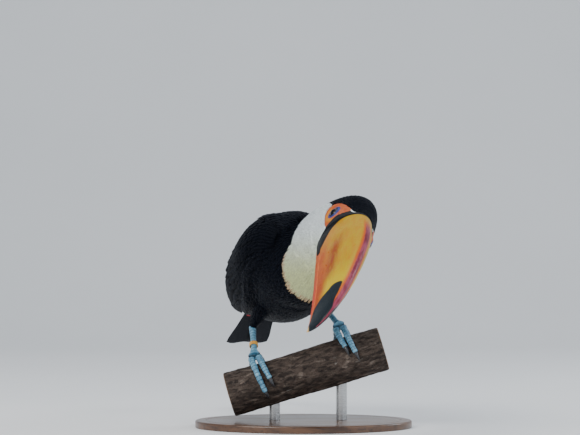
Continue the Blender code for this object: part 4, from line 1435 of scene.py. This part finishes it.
def bill_marks(mesh, upper):
    """Writes the distances in cm that the bill's material reads."""
    head = in_head(vertex_array(mesh))
    x, y, z = head.T
    ridge = outline_at(CULMEN, x)
    edge = outline_at(TOMIUM, x)
    if upper:
        band = x - hermite([0.0, 0.2, 0.45, 0.8, 1.3, 2.1, 3.2, 4.3],
                           [3.9, 3.5, 2.6, 1.3, 0.35, -0.3, -0.55, -0.7], z - edge)
        top = ridge - 0.4 - z + 0.3 * ease(x, 15.5, 17.2)
        low = z - np.interp(x, [13.0, 13.9, 14.6, 15.4, 16.4, 17.3],
                            [0.9, 0.2, -1.0, -1.9, -2.5, -3.15])
        front = (x - 13.35) * 0.9
        # The least of the three, rounded where they meet.
        spot = -np.log(np.exp(-5 * top) + np.exp(-5 * low) + np.exp(-5 * front)) / 5
    else:
        band = x - hermite([0.0, 0.3, 0.8, 1.2, 1.7, 2.2, 2.8],
                           [4.1, 4.4, 4.1, 2.9, 1.5, 0.85, 0.7], edge - z)
        spot = x - 14.6 + 0.8 * (z + 2.4)
    set_values(mesh, band=band, spot=spot, along=x, to_ridge=ridge - z,
               over_edge=(z - edge) if upper else (edge - z), flank=np.abs(y),
               to_tip=np.hypot(x - TOMIUM[-1][0], z - TOMIUM[-1][1]))


def bill_material(name, upper):
    s = Shading(name, Coat_Weight=0.06, Coat_Roughness=0.22, Specular_IOR_Level=0.15,
                Subsurface_Weight=0.02, Subsurface_Scale=0.003)
    along, over, ridge = s.value("along"), s.value("over_edge"), s.value("to_ridge")
    # Streaks run along the bill.
    rows = s.node("ShaderNodeCombineXYZ", X=s.times(along, 0.22), Y=over, Z=s.value("flank"))
    streak = s.noise(3.2, 5.0, 0.6, 0.4, vector=rows.outputs[0])
    blotch = s.noise(1.1, 3.0, 0.5, 0.2, vector=rows.outputs[0])
    wobble = s.wobble(streak, 0.1)
    if upper:
        colour = s.tones(streak, (0.44, 0.285, 0.0), (0.46, 0.205, 0.0), 0.3, 0.75)
        bright = s.times(s.span(along, 9.5, 13.0), s.span(over, 0.6, 1.6))
        colour = s.mix(s.times(bright, 0.7), colour, (0.57, 0.42, 0.0))
        # The red-brown flame in the middle of the flank and the orange-red lower part.
        centre = s.plus(2.45, s.times(s.minus(along, 4.0), -0.13))
        off = s.math("ABSOLUTE", s.minus(over, centre))
        flame = s.times(s.span(off, 1.15, 0.1), s.times(s.span(along, 2.0, 7.0), s.span(along, 13.2, 9.5)))
        flame = s.times(flame, s.span(streak, 0.2, 0.6, 0.45, 0.95))
        colour = s.mix(flame, colour, (0.26, 0.024, 0.0))
        lower = s.plus(over, s.wobble(blotch, 1.2))
        zone = s.times(s.span(lower, 1.75, 0.55), s.span(along, 1.5, 6.5))
        red = s.tones(streak, (0.34, 0.020, 0.0), (0.49, 0.095, 0.0), 0.32)
        red = s.mix(s.times(s.span(along, 8.0, 13.0), 0.75), red, (0.33, 0.012, 0.001))
        colour = s.mix(s.times(zone, 0.9), colour, red)
        # Orange shading towards the base's lower corner.
        corner = s.times(s.span(over, 2.6, 0.3), s.span(along, 7.0, 0.5))
        colour = s.mix(s.times(corner, 0.5), colour, (0.46, 0.085, 0.0))
        # Ridge: an orange-red border and a maroon stripe along the culmen.
        wave = s.plus(s.value("flank"), s.wobble(streak, 0.12))
        crown = s.span(ridge, 1.6, 1.0)
        maroon = s.tones(streak, (0.13, 0.009, 0.02), (0.30, 0.05, 0.09))
        for width, inner, start, end, tint in ((0.62, 0.38, -0.3, 2.5, (0.50, 0.075, 0.0)),
                                               (0.36, 0.24, 0.6, 3.5, maroon)):
            reach = s.times(s.span(along, start, end), crown)
            colour = s.mix(s.times(s.span(wave, width, inner), reach), colour, tint)
        # The black spot, the pale cutting edge and the horn-coloured tip.
        black = s.mix(streak, (0.004, 0.007, 0.010), (0.010, 0.018, 0.024))
        colour = s.mix(s.span(s.plus(s.value("spot"), wobble), -0.02, 0.03), colour, black)
        edge = s.times(s.span(over, 0.16, 0.07), s.span(along, 4.0, 8.0))
        colour = s.mix(edge, colour, (0.72, 0.16, 0.02))
        colour = s.mix(s.span(s.value("to_tip"), 0.55, 0.25), colour, (0.78, 0.5, 0.2))
    else:
        colour = s.tones(streak, (0.49, 0.095, 0.0), (0.44, 0.050, 0.0))
        colour = s.mix(s.span(along, 6.0, 13.5), colour, (0.47, 0.032, 0.003))
        # Painted shade: darker red just below the cutting edge, where the upper horn overhangs.
        colour = s.mix(s.times(s.span(over, 0.35, 0.08), 0.8), colour, (0.40, 0.022, 0.004))
    band = s.span(s.plus(s.value("band"), s.times(wobble, 0.4)), 0.02, -0.02)
    colour = s.mix(band, colour, (0.005, 0.006, 0.008))
    # Satin horn with fine growth lines and small pits.
    fine = s.noise(9.0, 4.0, 0.6, 0.0, vector=rows.outputs[0])
    height = s.plus(fine, s.times(s.noise(1500.0, 2.0), 0.25))
    rough = s.span(s.plus(fine, s.times(blotch, 0.6)), 0.5, 1.1, 0.26, 0.46)
    return s.finish(colour, s.plus(rough, s.times(band, 0.3)), s.bump(height, 0.00035, 0.5))


def upper_relief(grid, t, rise):
    """Growth waves, a soft groove beside the ridge and worn notches of the cutting edge."""
    x = grid[..., 0]
    wave = 0.012 * np.sin(x * 2.3 + 2.0 * rise) * np.sin(math.pi * rise)
    groove = -0.045 * np.exp(-((rise - 0.965) / 0.02) ** 2) * ease(t, 0.02, 0.15)[:, None]
    grid[..., 1] += np.sign(grid[..., 1]) * (wave + groove) * ease(1.0 - rise, 0.0, 0.02)
    notch = 0.035 * np.maximum(0.0, np.sin(x * 5.2 + 0.8 * np.sin(x * 1.7))) ** 3
    notch = notch * (1.0 - ease(rise, 0.0, 0.06)) * ease(x, 3.0, 5.0) * (1.0 - ease(x, 15.0, 16.5))
    grid[..., 2] += notch
    collar = 0.05 * np.exp(-((t[:, None] - 0.012) / 0.012) ** 2)
    grid[..., 1] *= 1.0 + collar * 0.5
    return grid


def lower_relief(grid, _, rise):
    x = grid[..., 0]
    grid[..., 1] += np.sign(grid[..., 1]) * 0.01 * np.sin(x * 2.1 + 3 * rise) * np.sin(math.pi * rise)
    return grid


def build_bill():
    """Upper and lower horn, a hair apart along the cutting edge and at the face."""
    shift = GAP / CM / 2
    lower_edge = TOMIUM[:len(GONYS)]
    for half, slot, ridge, edge, widths, bulge, relief in (
            ("upper", "yellow_bill", CULMEN, TOMIUM, UPPER_HALF_WIDTHS, 2.1, upper_relief),
            ("lower", "orange_bill", GONYS, lower_edge, LOWER_HALF_WIDTHS, 2.2, lower_relief)):
        upper = half == "upper"
        top = np.array(ridge) + [shift, 0.0]
        low = np.array(edge) + [shift, shift if upper else -shift]
        grid = bill_grid(top, low, np.array(widths), bulge, 420, 48, relief)
        obj = closed_grid("bill_horn_" + half, from_head(grid))
        obj.data.set_sharp_from_angle(angle=math.radians(38))
        bill_marks(obj.data, upper)
        hand_in(obj, bill_material(obj.name, upper), slot, "bill_" + half)


# ---- Claws, leg ring, perch, stand --------------------------------------------------------------
def build_claws():
    """Bent claws that taper over the branch from the toes' ends."""
    s = Shading("claw_horn", Coat_Weight=0.2, Coat_Roughness=0.3)
    grain = s.noise(500.0, 4.0, 0.6, 0.3)
    colour = s.tones(grain, (0.012, 0.014, 0.018), (0.05, 0.05, 0.055))
    material = s.finish(colour, s.span(grain, 0.3, 0.7, 0.25, 0.45), s.bump(grain, 0.0002, 0.5))
    t = np.linspace(0.0, 1.0, 40)
    # The root starts a little way inside the toe's end.
    toe_end = TOE_RADIUS * 0.72 * 1.05
    arch = toe_end * (1.0 + 0.5 * np.sin(math.pi * t) - 0.75 * t) + 0.05 * CM
    radii = CLAW_RADIUS * (1.0 - t) ** 0.75 * 0.97 + 0.00012
    turned = CLAW_GAP_ANGLE - 1.5 + (CLAW_ANGLE + 1.0) * t
    for side in ("left", "right"):
        for number in TOES:
            root_x, tip_x, end_angle = toe_span(side, number)
            angle = np.radians(end_angle + np.copysign(turned, end_angle))
            along = FOOT_PLACES[side] + tip_x + CLAW_DRIFT * (tip_x - root_x) * t
            line = on_perch(along, angle, arch)
            obj = closed_grid(f"claw_horn_{side}_{number}", tube_grid(line, radii, 28, PERCH_ALONG))
            hand_in(obj, material, "dark_horn", f"claw_{side}_{number}")


def build_leg_ring():
    """Plain closed band with bevelled edges round the right shank."""
    heel, ankle = HEELS["right"], ankle_point("right")
    upward = unit(heel - ankle)
    middle = ankle + (heel - ankle) * RING_PLACE
    inner = SHANK_RADIUS + 2 * GAP
    outer = inner + RING_WALL
    bevel, half = 0.00025, RING_HEIGHT / 2
    profile = np.array([(inner, -half + bevel), (inner + bevel, -half), (outer - bevel, -half),
                        (outer, -half + bevel), (outer, half - bevel), (outer - bevel, half),
                        (inner + bevel, half), (inner, half - bevel)])
    across = unit(np.cross(upward, PERCH_ALONG))
    over = np.cross(upward, across)
    turn = round_turn(72)
    outward = np.cos(turn)[:, None] * across + np.sin(turn)[:, None] * over
    grid = middle + outward[:, None] * profile[None, :, :1] + upward * profile[None, :, 1:]
    corners = grid.reshape(-1, 3)
    mesh = mesh_from("ring_band", corners, grid_faces(len(turn) + 1, len(profile)) % len(corners))
    with editing(mesh) as bm:
        bmesh.ops.recalc_face_normals(bm, faces=bm.faces)
    mesh.shade_smooth()
    mesh.set_sharp_from_angle(angle=math.radians(30))
    s = Shading("ring_plastic", Specular_IOR_Level=0.5)
    scuff = s.noise(900.0, 4.0)
    colour = s.tones(scuff, (0.62, 0.27, 0.03), (0.82, 0.44, 0.09), 0.35)
    plastic = s.finish(colour, s.span(scuff, 0.3, 0.7, 0.3, 0.55), s.bump(scuff, 0.0001, 0.5))
    hand_in(new_object("ring_band", mesh), plastic, "ring_plastic", "leg_ring")


def build_perch():
    """Barked branch with long ridges, cracks and two sawn ends."""
    l, a = grid_of(np.linspace(-PERCH_HALF_LENGTH, PERCH_HALF_LENGTH, 330), round_turn(280))
    # Bark lies below the CAD's surface, and its edge is worn at the sawn ends.
    height = np.vectorize(bark_height)(l / CM, a)
    end = ease(PERCH_HALF_LENGTH - np.abs(l), 0.0, 0.0012)
    grid = on_perch(l, a, 0.0012 * (height - 0.8) - 0.0008 * (1 - end))
    caps = []
    for rim, sign in ((grid[0], -1.0), (grid[-1], 1.0)):
        t = np.linspace(0.0, 1.0, 26)[1:, None, None]
        cap = rim + (rim.mean(0) - rim) * t * 0.999
        caps.append(cap - sign * PERCH_ALONG * (0.0001 + 0.00006 * np.sin(t * 60.0)))
    obj = closed_grid("branch", np.concatenate([caps[0][::-1], grid, caps[1]]))
    place, offset = off_perch(vertex_array(obj.data))
    radius, angle = np.linalg.norm(offset, axis=1), np.arctan2(offset @ TO_FRONT, offset @ PERCH_UP)
    cut = (np.abs(place) > PERCH_HALF_LENGTH - 0.0006) & (radius < PERCH_RADIUS * 0.97)
    set_values(obj.data, cut=cut.astype(float), radius=radius / CM, along=place / CM,
               round_x=np.cos(angle) * 2.5, round_y=np.sin(angle) * 2.5)
    hand_in(obj, bark_material(), "bark", "perch")


def bark_height(along, angle):
    """Relief of the bark without a unit; along is in cm."""
    p = Vector((math.cos(angle) * 2.5, math.sin(angle) * 2.5, along * 0.45))
    q = Vector((math.cos(angle) * 9.0, math.sin(angle) * 9.0, along * 1.1))
    ridge = 1.0 - abs(noise.noise(p * 1.6)) * 2.2
    crack = abs(noise.noise(q * 0.8 + Vector((3.1, 1.7, 0.4))))
    return (0.45 * ridge + 0.5 * noise.noise(p * 0.6) - 0.9 * max(0.0, 0.16 - crack)
            + 0.22 * noise.noise(q * 1.9))


def bark_material():
    s = Shading("bark", Specular_IOR_Level=0.3)
    vector = s.node("ShaderNodeCombineXYZ", X=s.value("round_x"), Y=s.value("round_y"),
                    Z=s.times(s.value("along"), 0.4)).outputs[0]
    grain = s.noise(2.6, 8.0, 0.62, 0.6, vector=vector)
    worn = s.noise(0.9, 5.0, 0.6, 0.8, vector=vector)
    fine = s.noise(900.0, 5.0, 0.65)
    colour = s.tones(grain, (0.018, 0.013, 0.011), (0.10, 0.072, 0.056), 0.32, 0.68)
    bared = s.times(s.span(worn, 0.52, 0.7), s.span(grain, 0.35, 0.6))
    colour = s.mix(bared, colour, (0.24, 0.19, 0.155))
    lichen = s.noise(1.7, 6.0, 0.7, 0.5, vector=vector)
    colour = s.mix(s.times(s.span(lichen, 0.64, 0.72), 0.7), colour, (0.42, 0.40, 0.36))
    colour = s.mix(s.span(fine, 0.3, 0.62, 0.55, 0.0), colour, (0.008, 0.006, 0.006))
    # Growth rings on the sawn ends, inside a rim of bark.
    growth = s.math("SINE", s.times(s.plus(s.value("radius"), s.times(worn, 0.25)), 42.0))
    wood = s.tones(growth, (0.36, 0.22, 0.11), (0.56, 0.39, 0.22), -0.6, 0.9)
    wood = s.mix(s.span(s.value("radius"), 2.15, 2.35), wood, (0.16, 0.09, 0.05))
    wood = s.mix(s.span(fine, 0.35, 0.7, 0.35, 0.0), wood, (0.2, 0.12, 0.06))
    colour = s.mix(s.value("cut"), colour, wood)
    height = s.plus(grain, s.times(fine, 0.7))
    return s.finish(colour, s.span(grain, 0.3, 0.7, 0.95, 0.72), s.bump(height, 0.0012, 0.8))


def build_stand():
    """Turned oval base with a rounded edge; the rods keep their CAD shapes."""
    bevel = 0.2 * CM
    arc = np.linspace(0.0, math.pi / 2, 9)
    profile = [(-0.08 * CM, 0.0), (0.0, 0.0008)]
    profile += [(-bevel * (1 - math.cos(t)), BASE_THICKNESS - bevel * (1 - math.sin(t))) for t in arc]
    profile += [(-1.1 * CM, BASE_THICKNESS), (-1.18 * CM, BASE_THICKNESS - 0.0006),
                (-1.26 * CM, BASE_THICKNESS)]
    turn = round_turn(192)
    rings = [np.stack([(BASE_HALF_X + inset) * np.cos(turn), (BASE_HALF_Y + inset) * np.sin(turn),
                       np.full(len(turn), z)], -1) for inset, z in profile]
    rim = rings[-1]
    rings += [rim * [share, share, 1.0] for share in (0.75, 0.5, 0.25, 0.06)]
    obj = closed_grid("stand_plinth", np.array(rings))
    obj.data.set_sharp_from_angle(angle=math.radians(35))
    s = Shading("stand_wood", Coat_Weight=0.45, Coat_Roughness=0.22)
    streak = s.noise(26.0, 6.0, 0.6, 1.2, stretch=(0.35, 3.2, 3.2))
    pore = s.noise(240.0, 3.0, 0.6, 0.0, stretch=(0.12, 2.2, 2.2))
    colour = s.tones(streak, (0.045, 0.019, 0.009), (0.135, 0.062, 0.028))
    colour = s.mix(s.span(pore, 0.58, 0.7, 0.0, 0.7), colour, (0.018, 0.008, 0.005))
    wood = s.finish(colour, s.span(streak, 0.3, 0.7, 0.3, 0.42), s.bump(pore, 0.0002, 0.35))
    hand_in(obj, wood, "stand_wood", "stand_base")
    s = Shading("stand_steel", Metallic=1.0)
    lines = s.noise(60.0, 4.0, 0.6, 0.0, stretch=(1.0, 1.0, 40.0))
    colour = s.mix(lines, (0.42, 0.42, 0.43), (0.62, 0.62, 0.61))
    steel = s.finish(colour, s.span(lines, 0.3, 0.7, 0.22, 0.4), s.bump(lines, 0.0001, 0.5))
    for name in ("stand_rod_1", "stand_rod_2"):
        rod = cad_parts[name]
        rod.data.materials.clear()
        rod.data.materials.append(steel)


# ---- Stage --------------------------------------------------------------------------------------
def build_stage():
    """Pale floor that curves up into a backdrop, soft lights and the camera."""
    arc = np.linspace(0, math.pi / 2, 16)[1:]
    depth = np.concatenate([np.linspace(-3.2, 1.6, 12), 1.6 + 1.2 * np.sin(arc), [2.8]])
    rise = np.concatenate([np.zeros(12), 1.2 * (1 - np.cos(arc)), [4.5]])
    grid = np.array([[(x, y, z) for x in (-6.0, 6.0)] for y, z in zip(depth, rise)])
    mesh = mesh_from("floor", grid.reshape(-1, 3), grid_faces(len(depth), 2, wrap=False))
    mesh.shade_smooth()
    floor = new_object("floor", mesh)
    s = Shading("paper", Specular_IOR_Level=0.2)
    speck = s.noise(3.0, 3.0)
    mesh.materials.append(s.finish(s.mix(speck, (0.82, 0.83, 0.84), (0.87, 0.88, 0.89)), 0.85))
    world = bpy.data.worlds.new("studio")
    world.use_nodes = True
    world.node_tree.nodes["Background"].inputs["Color"].default_value = (0.82, 0.90, 1.0, 1.0)
    world.node_tree.nodes["Background"].inputs["Strength"].default_value = 0.5
    bpy.context.scene.world = world
    target = Vector((0.0, -0.05, 0.16))
    # Name, place in metres, size in metres, power in watts and colour.
    for name, place, size, power, tint in (
            ("key", (-1.2, -1.4, 1.5), 1.3, 38.0, (1.0, 0.97, 0.93)),
            ("fill", (1.7, -1.2, 0.9), 1.6, 10.0, (0.86, 0.93, 1.0)),
            ("rim", (2.0, 0.5, 1.1), 0.9, 20.0, (0.9, 0.95, 1.0)),
            ("top", (0.0, 0.1, 2.4), 1.4, 16.0, (1.0, 1.0, 1.0))):
        light = bpy.data.lights.new(name, "AREA")
        light.shape = "DISK"
        light.size = size
        light.energy = power
        light.color = tint
        lamp = bpy.data.objects.new(name, light)
        lamp.location = place
        lamp.rotation_euler = (target - Vector(place)).to_track_quat("-Z", "Y").to_euler()
        bpy.context.scene.collection.objects.link(lamp)
    data = bpy.data.cameras.new("camera")
    data.lens = 147.5
    data.sensor_width = 36.0
    camera = bpy.data.objects.new("camera", data)
    camera.location = (-0.015, -2.63, 0.232)
    camera.rotation_euler = (math.pi / 2, 0.0, 0.0)
    bpy.context.scene.collection.objects.link(camera)
    bpy.context.scene.camera = camera


FLESH = (["trunk", "neck", "head", "tail", "wing_left", "wing_right"]
         + [f"{part}_{side}" for part in ("thigh", "shank") for side in ("left", "right")]
         + [f"toe_{side}_{number}" for side in ("left", "right") for number in TOES])

FORM, FORM_POINTS = build_form()
skin = build_skin()
skin.data.materials.clear()
skin.data.shade_smooth()
hand_in(skin, skin_material(), "black_plumage", *FLESH)

black_coat = coat_material("black_feathers", 0.5, 0.016, (0.25, 0.42, 1.0), 0.045, 0.0002)
white_coat = coat_material("white_feathers", 0.75, 0.15, (1.0, 1.0, 1.0), 0.3, 0.00004)
flight_coat = coat_material("flight_feathers", 0.56, 0.006, (0.25, 0.42, 1.0), 0.035, 0.00016)
build_body_coat(black_coat, white_coat)
build_wing_coat("coat_wing_left", 1.0, flight_coat)
build_wing_coat("coat_wing_right", -1.0, flight_coat)
build_tail_coat(flight_coat)
build_thigh_coat("left", black_coat)
build_thigh_coat("right", black_coat)
build_eyes()
build_bill()
build_claws()
build_leg_ring()
build_perch()
build_stand()
build_stage()
